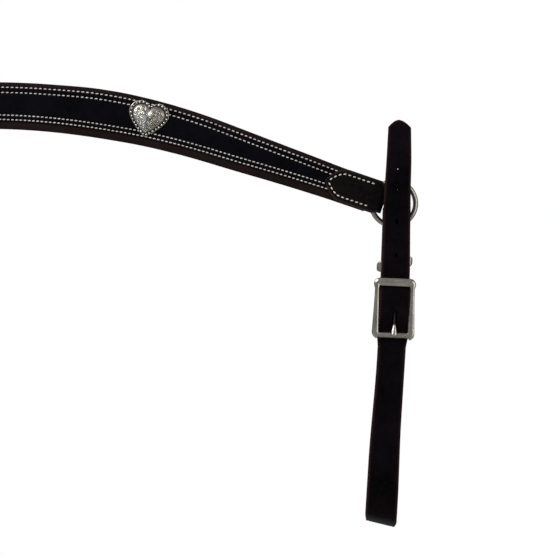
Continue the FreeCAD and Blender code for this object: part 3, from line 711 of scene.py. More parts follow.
chapeSize = {"reach": 65.0, "shoulder": 47.0, "waist": 15.6, "upper": 15.5, "lower": 14.6, "thick": 2.2,
             "fold": 12.5, "foldReach": 12.9, "inset": 4.6, "pitch": 4.5, "stitch": 1.15, "tipStitch": 5.6,
             "rowStart": 4.5, "rowRun": 26.0, "rounding": 0.55, "burnish": 1.6}
chapeMiddle = bandThick / 2 + chapeSize["thick"] / 2
ringX, ringZ, ringAngle = centreline(bandSize["ring"])
foldEnd = chapeMiddle - chapeSize["foldReach"]
chapeRoute = roundedRoute([(-chapeSize["reach"], -chapeMiddle, 0), (foldEnd, -chapeMiddle, chapeMiddle),
                           (foldEnd, chapeMiddle, chapeMiddle), (-chapeSize["reach"], chapeMiddle, 0)])
chapeLength = routeLength(chapeRoute)


def ringFrame(x, y, z):
    # from the ring's own axes, x away from the band and z across it, to the collar's
    cos, sin = math.cos(ringAngle), math.sin(ringAngle)
    return Vector((ringX + x * cos + z * sin, ringPlane + y, ringZ - x * sin + z * cos)) * mm


def chapeHalf(along):
    reach = min(along, chapeLength - along)
    x = -chapeSize["reach"] + max(0.0, reach)
    lower, upper = chapeSize["lower"], chapeSize["upper"]
    if x < -chapeSize["shoulder"]:
        share = (x + chapeSize["reach"]) / (chapeSize["reach"] - chapeSize["shoulder"])
        pointed = max(0.06, math.sin(share * math.pi / 2) ** 0.85 * 0.995 + 0.005)
        return lower * pointed, upper * pointed
    share = min(1.0, max(0.0, (x + chapeSize["waist"]) / (chapeSize["waist"] - chapeSize["foldReach"])))
    return lower + (chapeSize["fold"] - lower) * share, upper + (chapeSize["fold"] - upper) * share


def onChape(along, across, height):
    point, direction = routeAt(chapeRoute, along)
    return ringFrame(point.x + direction.y * height, point.y - direction.x * height, across)


def endChape():
    tip = chapeSize["reach"] - chapeSize["shoulder"]
    nose = noseStations(tip, 16)
    body = between(routeStations(chapeRoute, 2.6, 12), tip, chapeLength - tip)
    neck = [chapeSize["reach"] - chapeSize[key] for key in ("waist", "foldReach")]
    body = sorted(body + neck + [chapeLength - along for along in neck])
    stations = nose + body + [chapeLength - along for along in reversed(nose)]
    rows = [-1, -0.93, -0.82, -0.74, -0.66, -0.45, -0.2, 0, 0.2, 0.45, 0.66, 0.74, 0.82, 0.93, 1]
    piece = blank("endChape", stations, rows, chapeHalf, chapeSize["thick"], chapeSize["rounding"])
    markFlat(piece, chapeHalf, (0, chapeLength), chapeSize["burnish"])
    return bent(piece, onChape)


def chapeLine(side):
    # a line of stitches inside one edge, from the tip towards the fold
    begin = chapeSize["rowStart"]
    end = chapeSize["reach"] - chapeSize["shoulder"] + chapeSize["rowRun"]
    line = [(chapeSize["tipStitch"], side * 0.6)]
    for step in range(41):
        along = begin + (end - begin) * step / 40
        lower, upper = chapeHalf(along)
        across = (upper if side > 0 else lower) - chapeSize["inset"]
        if across > 0.3:
            line.append((along, side * across))
    return line


def chapeStitches():
    places = []
    for side in (1, -1):
        places += rowPlaces(chapeLine(side), chapeSize["pitch"], chapeSize["thick"] / 2)
    back = [(chapeLength - along, across, height, -angle) for along, across, height, angle in places]
    return stitchMesh("chapeStitches", places + back, onChape, chapeSize["stitch"])


pair(endChape(), "endChape", chapeLeather, "collar", "base_leather", "end_chape")
pair(chapeStitches(), "chapeStitches", threadCream, "collar", "thread")

ringSize = {"bore": 35.0, "wire": 4.8, "weld": 0.10, "weldAt": 0.08, "weldReach": 0.008, "wear": 0.02}


def endRing():
    path = circle((ringSize["bore"] + ringSize["wire"]) / 2, 120)

    def section(share):
        # the weld is a slight swelling, on the side away from the band
        weld = ringSize["weld"] * hump(share, ringSize["weldAt"], ringSize["weldReach"])
        half = ringSize["wire"] / 2 + weld + ringSize["wear"] * (math.sin(share * 44) - 1)
        return half - weld * 0.2, half - 0.03, 1.0

    piece = hoop("endRing", path, section, lambda x, z, y: ringFrame(x, y, z), sides=24)
    smooth(piece, 60)
    return piece


pair(endRing(), "endRing", nickel, "ring_{}", "nickel", "ring")
print("stage: chapes and rings")


# heart conchos

heartSize = {"width": 36.4, "lobe": 0.55, "lobeUp": 0.33, "tip": 0.87, "flankX": 0.60, "flankZ": -0.38,
             "leave": -25.0, "at": 160.5, "lift": 3.2, "tilt": 12.0, "rim": 1.6, "plate": 1.0, "rise": 4.4,
             "around": 168, "beads": 30, "bead": 1.06, "beadAt": 0.905, "dome": 0.83, "lip": 0.972,
             "relief": 0.32, "scrollPitch": 1.5, "scrollReach": 2.9, "crease": 1.6, "creaseDeep": 0.20}
heartHalf = heartSize["width"] / 2


def heartOutline():
    # two round lobes and two long convex sides, as evenly spaced points
    lobe = heartHalf * heartSize["lobe"]
    lobeX = heartHalf - lobe
    lobeZ = heartHalf * heartSize["lobeUp"]
    notch = math.pi - math.asin(math.sqrt(lobe * lobe - lobeX * lobeX) / lobe)
    right = []
    for step in range(61):
        angle = notch + (math.radians(heartSize["leave"]) - notch) * step / 60
        right.append(Vector((lobeX + lobe * math.cos(angle), lobeZ + lobe * math.sin(angle))))
    side = right[-1]
    tip = Vector((0.0, -heartHalf * heartSize["tip"]))
    flank = Vector((heartSize["flankX"], heartSize["flankZ"])) * 2 * heartHalf - (side + tip) / 2
    for step in range(1, 41):
        share = step / 40
        right.append(side * (1 - share) ** 2 + flank * (2 * share * (1 - share)) + tip * share ** 2)
    right[0].x = 0.0
    left = [Vector((-point.x, point.y)) for point in reversed(right[1:-1])]
    loop = right + left
    lengths = [(b - a).length for a, b in zip(loop, loop[1:] + loop[:1])]
    total = sum(lengths)
    count = heartSize["around"]
    points = []
    index = 0
    gone = 0.0
    for n in range(count):
        target = total * n / count
        while gone + lengths[index] < target:
            gone += lengths[index]
            index += 1
        share = (target - gone) / lengths[index]
        points.append(loop[index].lerp(loop[(index + 1) % len(loop)], share))
    return points


heart = heartOutline()
heartX, heartZ, heartSlope = centreline(heartSize["at"])
heartX += heartSize["lift"] * math.sin(heartSlope)
heartZ += heartSize["lift"] * math.cos(heartSlope)


def onConcho(x, y, z):
    tilt = math.radians(heartSize["tilt"])
    return Vector((heartX + x * math.cos(tilt) + z * math.sin(tilt), y - bandThick,
                   heartZ - x * math.sin(tilt) + z * math.cos(tilt))) * mm


# engraved scrolls: where each begins on the dome, and which way it winds
scrolls = [(-9.6, 7.4, 1), (8.6, 8.0, -1), (-5.8, 9.2, -1), (11.4, 4.2, 1), (-11.6, 3.0, -1), (5.0, 5.4, 1),
           (-7.4, 2.6, 1), (8.4, 0.6, -1), (-3.2, 4.6, 1), (2.6, 0.2, -1), (-4.2, -1.2, -1), (5.8, -3.8, 1),
           (-8.6, -2.4, 1), (9.6, -4.2, -1), (-5.4, -6.2, 1), (2.4, -6.0, -1), (-1.8, -8.8, 1),
           (4.8, -8.2, 1), (1.0, -11.4, -1)]


def engraving(x, z):
    relief = 0.0
    for centreX, centreZ, hand in scrolls:
        reach = math.hypot(x - centreX, z - centreZ)
        angle = math.atan2(z - centreZ, (x - centreX) * hand)
        winding = math.sin(2 * math.pi * reach / heartSize["scrollPitch"] - angle)
        relief += winding * hump(reach, 0, heartSize["scrollReach"])
    return relief


def conchoHeight(share, x, z):
    # front surface above the concho's back, with how deep it lies in the relief
    plate, lip = heartSize["plate"], heartSize["lip"]
    if share > lip:
        return plate * math.sqrt(max(0.0, 1 - ((share - lip) / (1 - lip)) ** 2)), 0.0
    if share > heartSize["dome"]:
        channel = ease((share - heartSize["dome"]) / 0.05)
        return plate + 0.75 * (1 - channel), channel * ease((lip - share) / 0.02)
    dome = (1 - (share / heartSize["dome"]) ** 2.4) ** 0.62
    # the crease between the lobes leans a little and runs out before the tip
    crease = hump(x + 0.05 * z, -0.6, heartSize["crease"]) * ease((12 - abs(z + 2)) / 9)
    relief = engraving(x, z) * ease(dome * 1.6)
    height = heartSize["rim"] - 0.25 + heartSize["rise"] * dome * (1 - heartSize["creaseDeep"] * crease)
    hollowsAndShade = 0.4 * crease + max(0.0, 0.30 - 0.8 * relief) + 0.8 * (1 - ease(dome * 2.2))
    return height + heartSize["relief"] * relief, min(1.0, hollowsAndShade)


def concho():
    inner = 44
    shares = [heartSize["dome"] * k / inner for k in range(inner + 1)]
    shares += [0.85, 0.875, 0.905, 0.935, 0.955, heartSize["lip"], 0.982, 0.99, 0.996, 1.0]
    rings = len(shares) - 1
    total = len(heart)
    pick(None)
    bpy.ops.mesh.primitive_uv_sphere_add(segments=heartSize["around"], ring_count=2 * rings, radius=1)
    plate = bpy.context.object
    hollowsAndShade = plate.data.attributes.new("hollowsAndShade", "FLOAT", "POINT")
    agedAndShaded = plate.data.attributes.new("agedAndShaded", "FLOAT", "POINT")
    for vertex, item, patinaAndShade in zip(plate.data.vertices, hollowsAndShade.data, agedAndShaded.data):
        k = round(math.acos(max(-1, min(1, vertex.co.z))) / math.pi * 2 * rings)
        i = round(math.atan2(vertex.co.y, vertex.co.x) / (2 * math.pi) * total) % total
        share = shares[min(k, 2 * rings - k)]
        point = heart[i] * share
        height, item.value = conchoHeight(share, point.x, point.y) if k <= rings else (0.0, 0.0)
        # painted shade: the right half and the top of the dome are darkened, standing in for how the light
        # falls on them
        patinaAndShade.value = max(0.72 * ease((point.x + 0.5) / 2), 0.6 * ease((point.y - 3) / 6))
        vertex.co = onConcho(point.x, -height, point.y)
    cleanShell(plate)
    pieces = [plate]
    for n in range(heartSize["beads"]):
        point = heart[round((n + 0.5) * total / heartSize["beads"]) % total] * heartSize["beadAt"]
        size = heartSize["bead"] * (1 + random.uniform(-0.05, 0.05))
        profile = [(size * math.sin(math.pi * k / 8), size * math.cos(math.pi * k / 8)) for k in range(9)]

        def place(x, y, height, middle=point):
            return onConcho(middle.x + x, 0.1 - heartSize["rim"] - height, middle.y + y)

        pieces.append(turnedPiece("bead", profile, place, 14))
    piece = joined(pieces, "heartConcho")
    smooth(piece, 50)
    return piece


pair(concho(), "heartConcho", antiqueSilver, "collar", "antique_silver", "heart_concho")

screwSize = {"head": 9.5, "headThick": 1.1, "stem": 5.0, "slot": 1.2, "slotDeep": 0.55}


def screwHead(name, radius, thick, stem, stemLength, place):
    # a low dome with a driver slot, and its stem
    profile = [(0, thick)] + [(radius * 0.94 * k / 5, thick - 0.25 * (k / 5) ** 2) for k in range(1, 6)]
    profile += [(radius, thick * 0.55), (radius, thick * 0.2), (radius * 0.97, 0), (stem, 0),
                (stem, -stemLength * 0.5), (stem, -stemLength), (0, -stemLength)]
    piece = turnedPiece(name, profile, lambda x, y, h: Vector((x, y, h)), 32)
    pick(None)
    bpy.ops.mesh.primitive_cube_add(size=1)
    cutter = bpy.context.object
    for vertex in cutter.data.vertices:
        vertex.co = (vertex.co.x * radius * 3, vertex.co.y * screwSize["slot"],
                     thick + vertex.co.z * 2 * screwSize["slotDeep"])
    punch(piece, [cutter])
    for vertex in piece.data.vertices:
        vertex.co = place(*vertex.co)
    cleanShell(piece)
    smooth(piece, 35)
    return piece


conchoScrew = screwHead("conchoScrew", screwSize["head"] / 2, screwSize["headThick"], screwSize["stem"] / 2,
                        bandThick, lambda x, y, h: Vector((heartX + x, h, heartZ + y)) * mm)
pair(conchoScrew, "conchoScrew", nickel, "collar", "nickel", "concho_screw")
print("stage: conchos")


# tug straps

tugSize = {"thick": 2.8, "tail": 1.8, "half": 12.7, "ringHalf": 12.2, "tipHalf": 9.8, "tip": 74.6,
           "point": 6.8, "spread": 1.4, "loopBottom": 289.2, "loopTop": 4.2, "gap": 9.0, "offset": 2.7,
           "lean": 2.4, "upperLean": -1.2, "lowerLean": 1.05, "skew": 0.20, "tailTop": 29.0, "hole": 3.3,
           "slotWide": 4.6, "slotLong": 15.5, "foldSlot": 17.0, "screw": 36.0, "screwHead": 8.0,
           "billet": 110.0, "cornerRight": 2.0, "cornerLeft": 0.9, "tipRight": 1.25, "tipLeft": -0.45,
           "rounding": 0.85, "burnish": 2.4, "creaseAt": 2.2, "creaseDeep": 0.22, "creaseReach": 0.45}
buckleSize = {"drop": 89.0, "setback": 5.2, "bar": 3.2, "above": 22.7, "thick": 3.2, "topBar": 7.2,
              "rollerDrop": 29.4, "roller": 5.2, "rollerBore": 3.0, "rollerLong": 27.0, "top": 17.9,
              "waist": 18.1, "bottom": 19.2, "side": 4.0, "corner": 6.2, "shift": -0.8, "axle": 2.9,
              "around": 220}
keeperSize = {"drop": 55.3, "band": 9.0, "flare": 0.6, "wide": 31.8, "skew": 11.5, "thick": 1.5,
              "inside": 8.6, "shift": -0.9, "lift": 0.7, "round": 2.6}
# how far the hide has stretched on each side: (by, from this depth, over this length)
hideStretch = {"right": [(-0.8, 112, 10), (1.3, 195, 75)], "left": [(2.1, 140, 95)]}
clear = 0.15
half = tugSize["thick"] / 2
legY = tugSize["gap"] / 2 + half
barY = -(legY + half + clear + buckleSize["bar"] / 2)
barZ = -buckleSize["drop"]
frameY = barY - buckleSize["setback"]
foldIn = buckleSize["bar"] / 2 + clear
roundBar = foldIn + tugSize["tail"] / 2
tailY = -(legY + half + tugSize["tail"] / 2)
billetBarY = barY - foldIn - tugSize["tail"] - 0.1 - half
billetTopY = frameY + buckleSize["thick"] / 2 + 0.5 + half
billetRollerY = frameY + buckleSize["roller"] / 2 + 0.7 + half
keeperFrontY = tailY - tugSize["tail"] / 2 - 2 * clear
billetY = keeperFrontY - keeperSize["thick"] - 2 * clear - half
rollerZ = barZ - buckleSize["rollerDrop"]
topBarZ = barZ + buckleSize["above"]
keeperLowZ = -keeperSize["drop"] - keeperSize["band"] / 2
kneeZ = barZ - buckleSize["rollerDrop"] / 4


def strapX(z):
    # the strap leans one way above its knee at the buckle and the other way below it
    upper = max(z, kneeZ) * math.tan(math.radians(tugSize["upperLean"]))
    lower = min(z - kneeZ, 0) * math.tan(math.radians(tugSize["lowerLean"]))
    return tugSize["offset"] + upper + lower


def inTug(x, y, z):
    # from the tug's leaning axes at the ring's centre to the collar's
    lean = math.radians(tugSize["lean"])
    return Vector((ringX + x * math.cos(lean) + z * math.sin(lean), ringPlane + y,
                   ringZ - x * math.sin(lean) + z * math.cos(lean))) * mm


tugBottom = -tugSize["loopBottom"] + half
tugTop = -tugSize["loopTop"] - half
tugRoute = roundedRoute([
    (tailY, -tugSize["tailTop"], 0), (tailY, barZ + 12, 4), (barY - roundBar, barZ + 4.5, 4),
    (barY - roundBar, barZ - roundBar, roundBar), (barY + roundBar, barZ - roundBar, roundBar),
    (barY + roundBar, barZ + 2, 8), (-legY, barZ + 12, 30), (-legY, tugTop, legY), (legY, tugTop, legY),
    (legY, tugBottom, legY), (-legY, tugBottom, legY), (-legY, (rollerZ + tugBottom) / 2, 60),
    (billetRollerY, rollerZ - 16, 30), (billetRollerY, rollerZ + 6, 8), (billetBarY, barZ - 12, 6),
    (billetBarY, barZ + 7, 6), (billetTopY, topBarZ - buckleSize["topBar"] - 1.6, 4),
    (billetTopY, topBarZ + 0.8, 3), (billetY, keeperLowZ - 1.2, 3), (billetY, tugSize["tip"], 0)])
tugLength = routeLength(tugRoute)
tailLength = -tugSize["tailTop"] - barZ + 6


def strapThick(along):
    # the folded tail is skived thinner
    return mix(tugSize["tail"], tugSize["thick"], ease((along - tailLength - 2) / 14))


def strapHalf(along):
    # right and left half widths, wider inside the buckle and towards the stretched loop
    height = routeAt(tugRoute, along)[0].y
    wide = mix(tugSize["half"], tugSize["ringHalf"], ease((height + 60) / 40))
    wide += tugSize["spread"] * ease((height + 128) / 8) * ease((-68 - height) / 5)
    right, left = [wide + sum(by * ease((-height - start) / over) for by, start, over in hideStretch[side])
                   for side in ("right", "left")]
    corner = ease((7 - height - tugSize["loopBottom"]) / 6) ** 2
    right -= tugSize["cornerRight"] * corner
    left -= tugSize["cornerLeft"] * corner
    if along > tugLength - tugSize["billet"]:
        shoulder = tugSize["tip"] - tugSize["point"]
        narrow = (tugSize["tipHalf"] - tugSize["ringHalf"]) * min(1, max(0, (height + 4) / (shoulder + 4)))
        right += narrow + tugSize["tipRight"] * ease(height / 45)
        left += narrow + tugSize["tipLeft"] * ease(height / 45)
        if height > shoulder:
            share = (max(0.02, tugSize["tip"] - height) / tugSize["point"]) ** 0.56
            return right * share, left * share
    if along < 8:
        rounded = 0.55 + 0.45 * math.sqrt(max(0.0, 1 - ((8 - along) / 8) ** 2))
        return right * rounded, left * rounded
    return right, left


def onTug(along, across, height):
    point, direction = routeAt(tugRoute, along)
    height *= strapThick(along) / tugSize["thick"]
    y = point.x - direction.y * height
    z = point.y + direction.x * height
    z += tugSize["skew"] * across * ease((-point.y - 235) / 50)
    return inTug(strapX(point.y) - across, y, z)


def billetDistance(z):
    # where the billet passes a height
    low, high = tugLength - (tugSize["tip"] - barZ) - 60, tugLength
    for step in range(40):
        middle = (low + high) / 2
        if routeAt(tugRoute, middle)[0].y < z:
            low = middle
        else:
            high = middle
    return low


def tugStrap():
    stations = routeStations(tugRoute, 5.0, 12)
    tipRun = tugSize["point"]
    stations = [along for along in stations if along < tugLength - tipRun - 1.0]
    stations += [tugLength - tipRun * math.cos(math.pi / 2 * k / 12) for k in range(12)]
    stations += [tugLength - 0.001]
    rows = [-1, -0.95, -0.86, -0.82, -0.78, -0.72, -0.45, -0.15, 0.15, 0.45, 0.72, 0.78, 0.82, 0.86, 0.95, 1]
    piece = blank("tugStrap", stations, rows, strapHalf, tugSize["thick"], tugSize["rounding"], 4)
    for vertex in piece.data.vertices:
        # a creased line inside each edge, on the grain side
        right, left = strapHalf(vertex.co.x)
        wide = left if vertex.co.y > 0 else right
        if vertex.co.z > tugSize["thick"] / 3:
            inside = wide - abs(vertex.co.y)
            vertex.co.z -= tugSize["creaseDeep"] * hump(inside, tugSize["creaseAt"], tugSize["creaseReach"])
    crossing = billetDistance(barZ - 14.3)
    tools = [stadium(crossing, 0, tugSize["slotLong"], tugSize["slotWide"], 12),
             stadium(tailLength - 1.5, 0, tugSize["foldSlot"], tugSize["slotWide"], 12)]
    # the hole in use most is drawn long, and those near the tip have hardly opened behind
    worn = [(-46.6, 1.1), (-16.3, 1.5)]
    for z, long in worn:
        tools.append(stadium(billetDistance(z), 0, tugSize["hole"] * long, tugSize["hole"], 12))
    fresh = [(12.1, 0.06), (30.6, 0.24)]
    for z, behind in fresh:
        size = tugSize["hole"] * 0.8
        tools.append(stadium(billetDistance(z), 0, size, size, tugSize["thick"] + 0.3, behind))
    punch(piece, tools)
    markFlat(piece, strapHalf, (0, tugLength), tugSize["burnish"])
    fold = piece.data.attributes.new("fold", "FLOAT", "POINT")
    for vertex, item in zip(piece.data.vertices, fold.data):
        z = routeAt(tugRoute, vertex.co.x)[0].y
        item.value = ease((-z - tugSize["loopBottom"] + 8) / 5)
    return bent(piece, onTug)


pair(tugStrap(), "tugStrap", strapLeather, "tug_{}", "strap_leather", "tug_strap")


def tugScrew(front):
    y = tailY - tugSize["tail"] / 2
    x, z = strapX(-tugSize["screw"]), -tugSize["screw"]
    radius = tugSize["screwHead"] / 2
    if front:
        return screwHead("tugScrewPost", radius, screwSize["headThick"], 2.5, 4.6,
                         lambda across, up, out: inTug(x + across, y - out, z + up))
    back = y + tugSize["tail"] + tugSize["thick"]
    return screwHead("tugScrewCap", radius, screwSize["headThick"], 1.5, 3.4,
                     lambda across, up, out: inTug(x - across, back + out, z + up))


pair(tugScrew(True), "tugScrewPost", nickel, "tug_{}", "nickel", "tug_screw_post")
pair(tugScrew(False), "tugScrewCap", nickel, "tug_{}", "nickel", "tug_screw_cap")
print("stage: tug straps")


# keepers, buckles, rollers and tongues

def keeper():
    wall = keeperSize["thick"] / 2
    reach = keeperSize["wide"] / 2
    front = keeperFrontY - wall
    back = keeperFrontY + keeperSize["inside"] + wall
    corners = [(wall - reach, front), (reach - wall, front), (reach - wall, back), (wall - reach, back)]
    path = roundedLoop([corner + (keeperSize["round"],) for corner in corners], 132)
    deeps = []
    for x, y in path:
        # the band narrows round the ends
        end = max(0.0, (abs(x) - reach + 4.2) / 4.4)
        deeps.append((keeperSize["band"] / 2 + keeperSize["flare"]) * math.sqrt(max(0.04, 1 - end ** 2)))
    skew = math.tan(math.radians(keeperSize["skew"]))
    middle = strapX(-keeperSize["drop"]) + keeperSize["shift"]
    height = keeperSize["lift"] - keeperSize["drop"]
    piece = hoop("keeper", path, lambda share: (wall, deeps[round(share * len(path)) % len(path)], 0.6),
                 lambda x, y, up: inTug(middle + x, y, height + up + x * skew), sides=28)
    smooth(piece, 40)
    return piece


pair(keeper(), "keeper", nickel, "keeper_{}", "nickel", "keeper")


def footDrop(x, z):
    # the feet reach below the roller, the right one further
    return (1.1 + 0.03 * x) * ease((abs(x) - 12.5) / 2.5) * ease((-15 - z) / 10)


def buckleFrame():
    # sides lean out to the feet; below them the frame thins into the roller's axle
    side = buckleSize["side"] / 2
    right = [(buckleSize["bottom"] - side - 1.1, -buckleSize["rollerDrop"], 3.2),
             (buckleSize["waist"] - side - 0.3, -4, 60),
             (buckleSize["top"] - side, buckleSize["above"] - 1.0 - buckleSize["topBar"] / 2, 2.0)]
    left = [(-x, z, radius) for x, z, radius in reversed(right)]
    path = roundedLoop(left + right, buckleSize["around"])
    path = [path[-i] for i in range(len(path))]
    nose = []
    for x, z in path:
        foot = min(1.0, max(0.0, (8 - z) / 34))
        rise = (0.05 + 0.95 * ease((18.4 - abs(x)) / 4.5)) * ease((z - 12) / 4)
        wide = mix(mix(side, buckleSize["corner"] / 2, foot), buckleSize["topBar"] / 2, rise)
        bottom = ease((14.0 - abs(x)) / 1.2) if z < 0 else 0.0
        axle = buckleSize["axle"] / 2
        nose.append((mix(wide, axle, bottom), mix(buckleSize["thick"] / 2, axle, bottom),
                     mix(0.85 + 0.55 * rise, 1, bottom)))
    count = len(path)
    middle = strapX(barZ) + buckleSize["shift"]
    piece = hoop("buckleFrame", path, lambda share: nose[round(share * count) % count],
                 lambda x, z, up: inTug(middle + x, frameY - up, barZ + z - footDrop(x, z)), sides=24)
    smooth(piece, 32)
    # the centre bar dips behind the frame
    across, front = Vector((1, 0, 0)), Vector((0, 1, 0))
    reach = buckleSize["waist"] - 2.2
    bends = roundedRoute([(-reach, frameY, 0), (-reach, barY, 2.2), (reach, barY, 2.2), (reach, frameY, 0)])
    total = routeLength(bends)
    spine = []
    steps = 60
    for k in range(steps + 1):
        point, direction = routeAt(bends, total * k / steps)
        radius = buckleSize["bar"] / 2 if 0 < k < steps else 0.01
        centre = inTug(middle + point.x, point.y, barZ)
        normal = inTug(-direction.y, direction.x, 0) - inTug(0, 0, 0)
        upward = inTug(0, 0, 1) - inTug(0, 0, 0)
        spine.append((centre, radius, radius, normal, upward))
    bar = rod("centreBar", spine)
    smooth(bar, 50)
    return joined([piece, bar], "buckleFrame")


pair(buckleFrame(), "buckleFrame", nickel, "buckle_{}", "nickel", "buckle_frame")


def roller():
    outer = buckleSize["roller"] / 2
    inner = buckleSize["rollerBore"] / 2
    section = ((outer - inner) / 2, buckleSize["rollerLong"] / 2, 0.35)
    piece = hoop("buckleRoller", circle((outer + inner) / 2, 40), lambda share: section,
                 lambda y, z, x: inTug(strapX(barZ) + x, frameY + y, rollerZ + z), sides=24)
    smooth(piece, 40)
    return piece


pair(roller(), "buckleRoller", rollerSteel, "roller_{}", "nickel", "buckle_roller")

tongueSize = {"thick": 2.4, "slim": 0.85, "flare": 1.15, "eye": 5.8, "eyeWide": 3.4, "over": 2.4,
              "unshadedBelow": 22.2}


def tongue():
    reach = math.hypot(buckleSize["setback"], buckleSize["rollerDrop"])
    standOff = buckleSize["roller"] / 2 + clear + tongueSize["thick"] / 2
    angle = math.atan2(buckleSize["setback"], buckleSize["rollerDrop"]) + math.asin(standOff / reach)
    length = math.sqrt(reach * reach - standOff * standOff) + tongueSize["over"]
    outer = tongueSize["eye"] / 2
    inner = buckleSize["bar"] / 2 + 0.06
    section = ((outer - inner) / 2, tongueSize["eyeWide"] / 2, 0.6)
    eye = hoop("tongueEye", circle((outer + inner) / 2, 32), lambda share: section,
               lambda y, z, x: inTug(strapX(barZ) + x, barY + y, barZ + z), sides=12)
    side = inTug(1, 0, 0) - inTug(0, 0, 0)
    front = inTug(0, -math.cos(angle), math.sin(angle)) - inTug(0, 0, 0)
    spine = []
    steps = 30
    for k in range(steps + 1):
        share = k / steps
        travel = mix(2.2, length, share)
        wide = tongueSize["thick"] / 2 * (tongueSize["slim"] + tongueSize["flare"] * ease((travel - 18) / 11))
        deep = tongueSize["thick"] / 2 * (1 - 0.12 * ease((travel - 22) / 7))
        end = math.sqrt(max(0.0, 1 - max(0.0, (share - 0.93) / 0.07) ** 2))
        wide *= 0.35 + 0.65 * end
        if k in (0, steps):
            wide = deep = 0.01
        point = inTug(strapX(barZ), barY - travel * math.sin(angle), barZ - travel * math.cos(angle))
        spine.append((point, wide, deep * max(end, 0.4), side, front))
    shank = rod("tongueShank", spine, 20)
    piece = joined([eye, shank], "buckleTongue")
    smooth(piece, 50)
    # painted shade: the tongue is darkened above a line, where it runs under the strap, standing in for the
    # strap's shadow
    grimeAndShade = piece.data.attributes.new("hollowsAndShade", "FLOAT", "POINT")
    line = inTug(0, 0, barZ - tongueSize["unshadedBelow"]).z
    for vertex, item in zip(piece.data.vertices, grimeAndShade.data):
        item.value = ease((vertex.co.z - line) / mm / 3.5)
    return piece


pair(tongue(), "buckleTongue", nickel, "tongue_{}", "nickel", "buckle_tongue")
print("stage: buckles")


# centre dee and its chape

deeSize = {"inside": 25.4, "wire": 4.8, "side": 6.0, "stand": 6.0, "hang": 42.0, "chapeWide": 23.6,
           "drop": 26.0, "inset": 2.8, "pitch": 4.5, "rowEnd": 25.5}
deeBarZ = bandSize["middle"] / 2 + deeSize["stand"]


def centreDee():
    reach = (deeSize["inside"] + deeSize["wire"]) / 2
    low = deeSize["side"] + reach
    path = roundedLoop([(reach, 0, 2.4), (reach, low, reach - 0.01), (-reach, low, reach - 0.01),
                        (-reach, 0, 2.4)], 150)
    hang = math.radians(deeSize["hang"])
    wire = deeSize["wire"] / 2 - 0.02

    def place(x, out, depth):
        y = -out * math.sin(hang) - depth * math.cos(hang)
        z = -out * math.cos(hang) + depth * math.sin(hang)
        return Vector((x, ringPlane + y, deeBarZ + z)) * mm

    piece = hoop("centreDee", path, lambda share: (wire, wire, 1.0), place, sides=20)
    smooth(piece, 60)
    return piece


shownAs(centreDee(), nickel, "dee", "nickel", "centre_dee")

deeMiddle = bandThick / 2 + chapeSize["thick"] / 2
deeNose = deeSize["chapeWide"] / 2 * 0.8
deeLow = bandSize["middle"] / 2 - deeSize["drop"]
deeRoute = roundedRoute([(-deeMiddle, deeLow, 0), (-deeMiddle, deeBarZ + deeMiddle, deeMiddle),
                         (deeMiddle, deeBarZ + deeMiddle, deeMiddle), (deeMiddle, deeLow, 0)])
deeLength = routeLength(deeRoute)


def deeHalf(along):
    wide = deeSize["chapeWide"] / 2
    reach = min(along, deeLength - along)
    if reach < deeNose:
        wide *= max(0.16, math.sqrt(max(0.0, 1 - ((deeNose - reach) / deeNose) ** 2)))
    return wide, wide


def onDeeChape(along, across, height):
    point, direction = routeAt(deeRoute, along)
    return Vector((-across, ringPlane + point.x - direction.y * height, point.y + direction.x * height)) * mm


def centreChape():
    nose = noseStations(deeNose, 14)
    body = between(routeStations(deeRoute, 3.5, 12), deeNose, deeLength - deeNose)
    stations = nose + body + [deeLength - along for along in reversed(nose)]
    rows = [-1, -0.92, -0.8, -0.6, -0.3, 0, 0.3, 0.6, 0.8, 0.92, 1]
    piece = blank("centreChape", stations, rows, deeHalf, chapeSize["thick"], chapeSize["rounding"])
    markFlat(piece, deeHalf, (0, deeLength), 0.9)
    return bent(piece, onDeeChape)


def centreStitches():
    # round the nose, along both sides, and across at the fold
    radius = deeSize["chapeWide"] / 2 - deeSize["inset"]
    turns = [math.pi * step / 40 for step in range(41)]
    line = [(deeNose - radius * 0.8 * math.sin(turn) + 0.4, radius * math.cos(turn)) for turn in turns]
    ends = [(deeSize["rowEnd"], radius), (deeSize["rowEnd"], -radius)]
    places = rowPlaces([ends[0]] + line + [ends[1], ends[0]], deeSize["pitch"], chapeSize["thick"] / 2)
    back = [(deeLength - along, across, height, -angle) for along, across, height, angle in places]
    return stitchMesh("centreChapeStitches", places + back, onDeeChape, 1.0)


shownAs(centreChape(), chapeLeather, "collar", "base_leather", "centre_chape")
shownAs(centreStitches(), threadCream, "collar", "thread")
print("stage: centre dee")


# floor, light and camera

studio = {"floor": -0.60, "floorRadius": 1.3, "ambient": 0.30, "eyeX": 0.27765, "eyeZ": -0.15603,
          "away": 2.2, "plane": 0.005, "across": 0.5013, "sensor": 36.0}


def floor():
    pick(None)
    bpy.ops.mesh.primitive_circle_add(vertices=96, radius=studio["floorRadius"], fill_type="NGON",
                                      location=(0, 0, studio["floor"]))
    plane = bpy.context.object
    plane.name = "floor"
    n = Nodes("floorPaint")
    n.feed(n.shader.inputs["Base Color"], n.blend(n.noise(6), rgb(0.44, 0.44, 0.43), rgb(0.48, 0.48, 0.47)))
    n.shader.inputs["Roughness"].default_value = 0.85
    plane.data.materials.append(n.material)


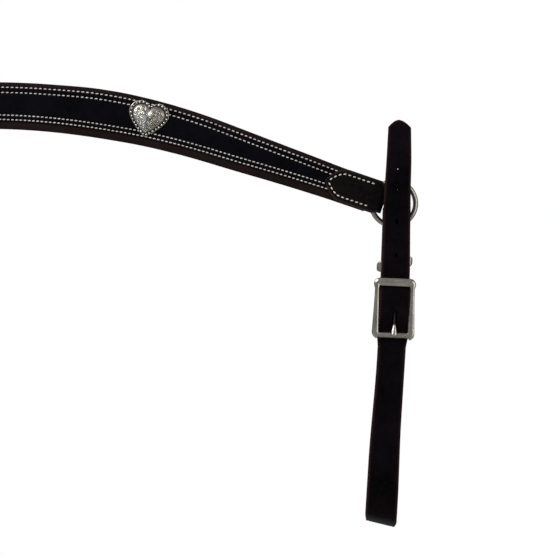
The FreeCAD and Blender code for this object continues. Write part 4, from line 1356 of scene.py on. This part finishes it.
def areaLight(name, place, target, size, power, height=None):
    light = bpy.data.lights.new(name, "AREA")
    light.shape = "RECTANGLE"
    light.size = size
    light.size_y = height or size
    light.energy = power
    lamp = bpy.data.objects.new(name, light)
    bpy.context.collection.objects.link(lamp)
    lamp.location = place
    lamp.rotation_euler = (Vector(target) - Vector(place)).to_track_quat("-Z", "Y").to_euler()


def world():
    sky = bpy.data.worlds.new("studio")
    bpy.context.scene.world = sky
    sky.use_nodes = True
    tree = sky.node_tree
    tree.nodes.clear()
    output = tree.nodes.new("ShaderNodeOutputWorld")
    mix = tree.nodes.new("ShaderNodeMixShader")
    path = tree.nodes.new("ShaderNodeLightPath")
    seen = tree.nodes.new("ShaderNodeBackground")
    seen.inputs["Color"].default_value = (1, 1, 1, 1)
    seen.inputs["Strength"].default_value = 1.0
    around = tree.nodes.new("ShaderNodeBackground")
    around.inputs["Color"].default_value = (0.95, 0.97, 1.0, 1)
    around.inputs["Strength"].default_value = studio["ambient"]
    tree.links.new(path.outputs["Is Camera Ray"], mix.inputs["Fac"])
    tree.links.new(around.outputs["Background"], mix.inputs[1])
    tree.links.new(seen.outputs["Background"], mix.inputs[2])
    tree.links.new(mix.outputs["Shader"], output.inputs["Surface"])


def camera():
    lens = bpy.data.cameras.new("camera")
    eye = bpy.data.objects.new("camera", lens)
    bpy.context.collection.objects.link(eye)
    eye.location = (studio["eyeX"], -studio["away"], studio["eyeZ"])
    eye.rotation_euler = (math.radians(90), 0, 0)
    lens.sensor_width = studio["sensor"]
    lens.lens = studio["sensor"] * (studio["away"] - studio["plane"]) / studio["across"]
    bpy.context.scene.camera = eye
    bpy.context.scene.view_settings.view_transform = "Standard"


floor()
areaLight("key", (-0.75, -1.25, 1.05), (0.2, 0, -0.1), 0.7, 22)
areaLight("fill", (1.5, -1.1, 0.15), (0.3, 0, -0.15), 0.8, 7, 1.4)
areaLight("rim", (0.4, 1.0, 1.3), (0.25, 0, -0.1), 1.1, 14)
world()
camera()
print("stage: studio")
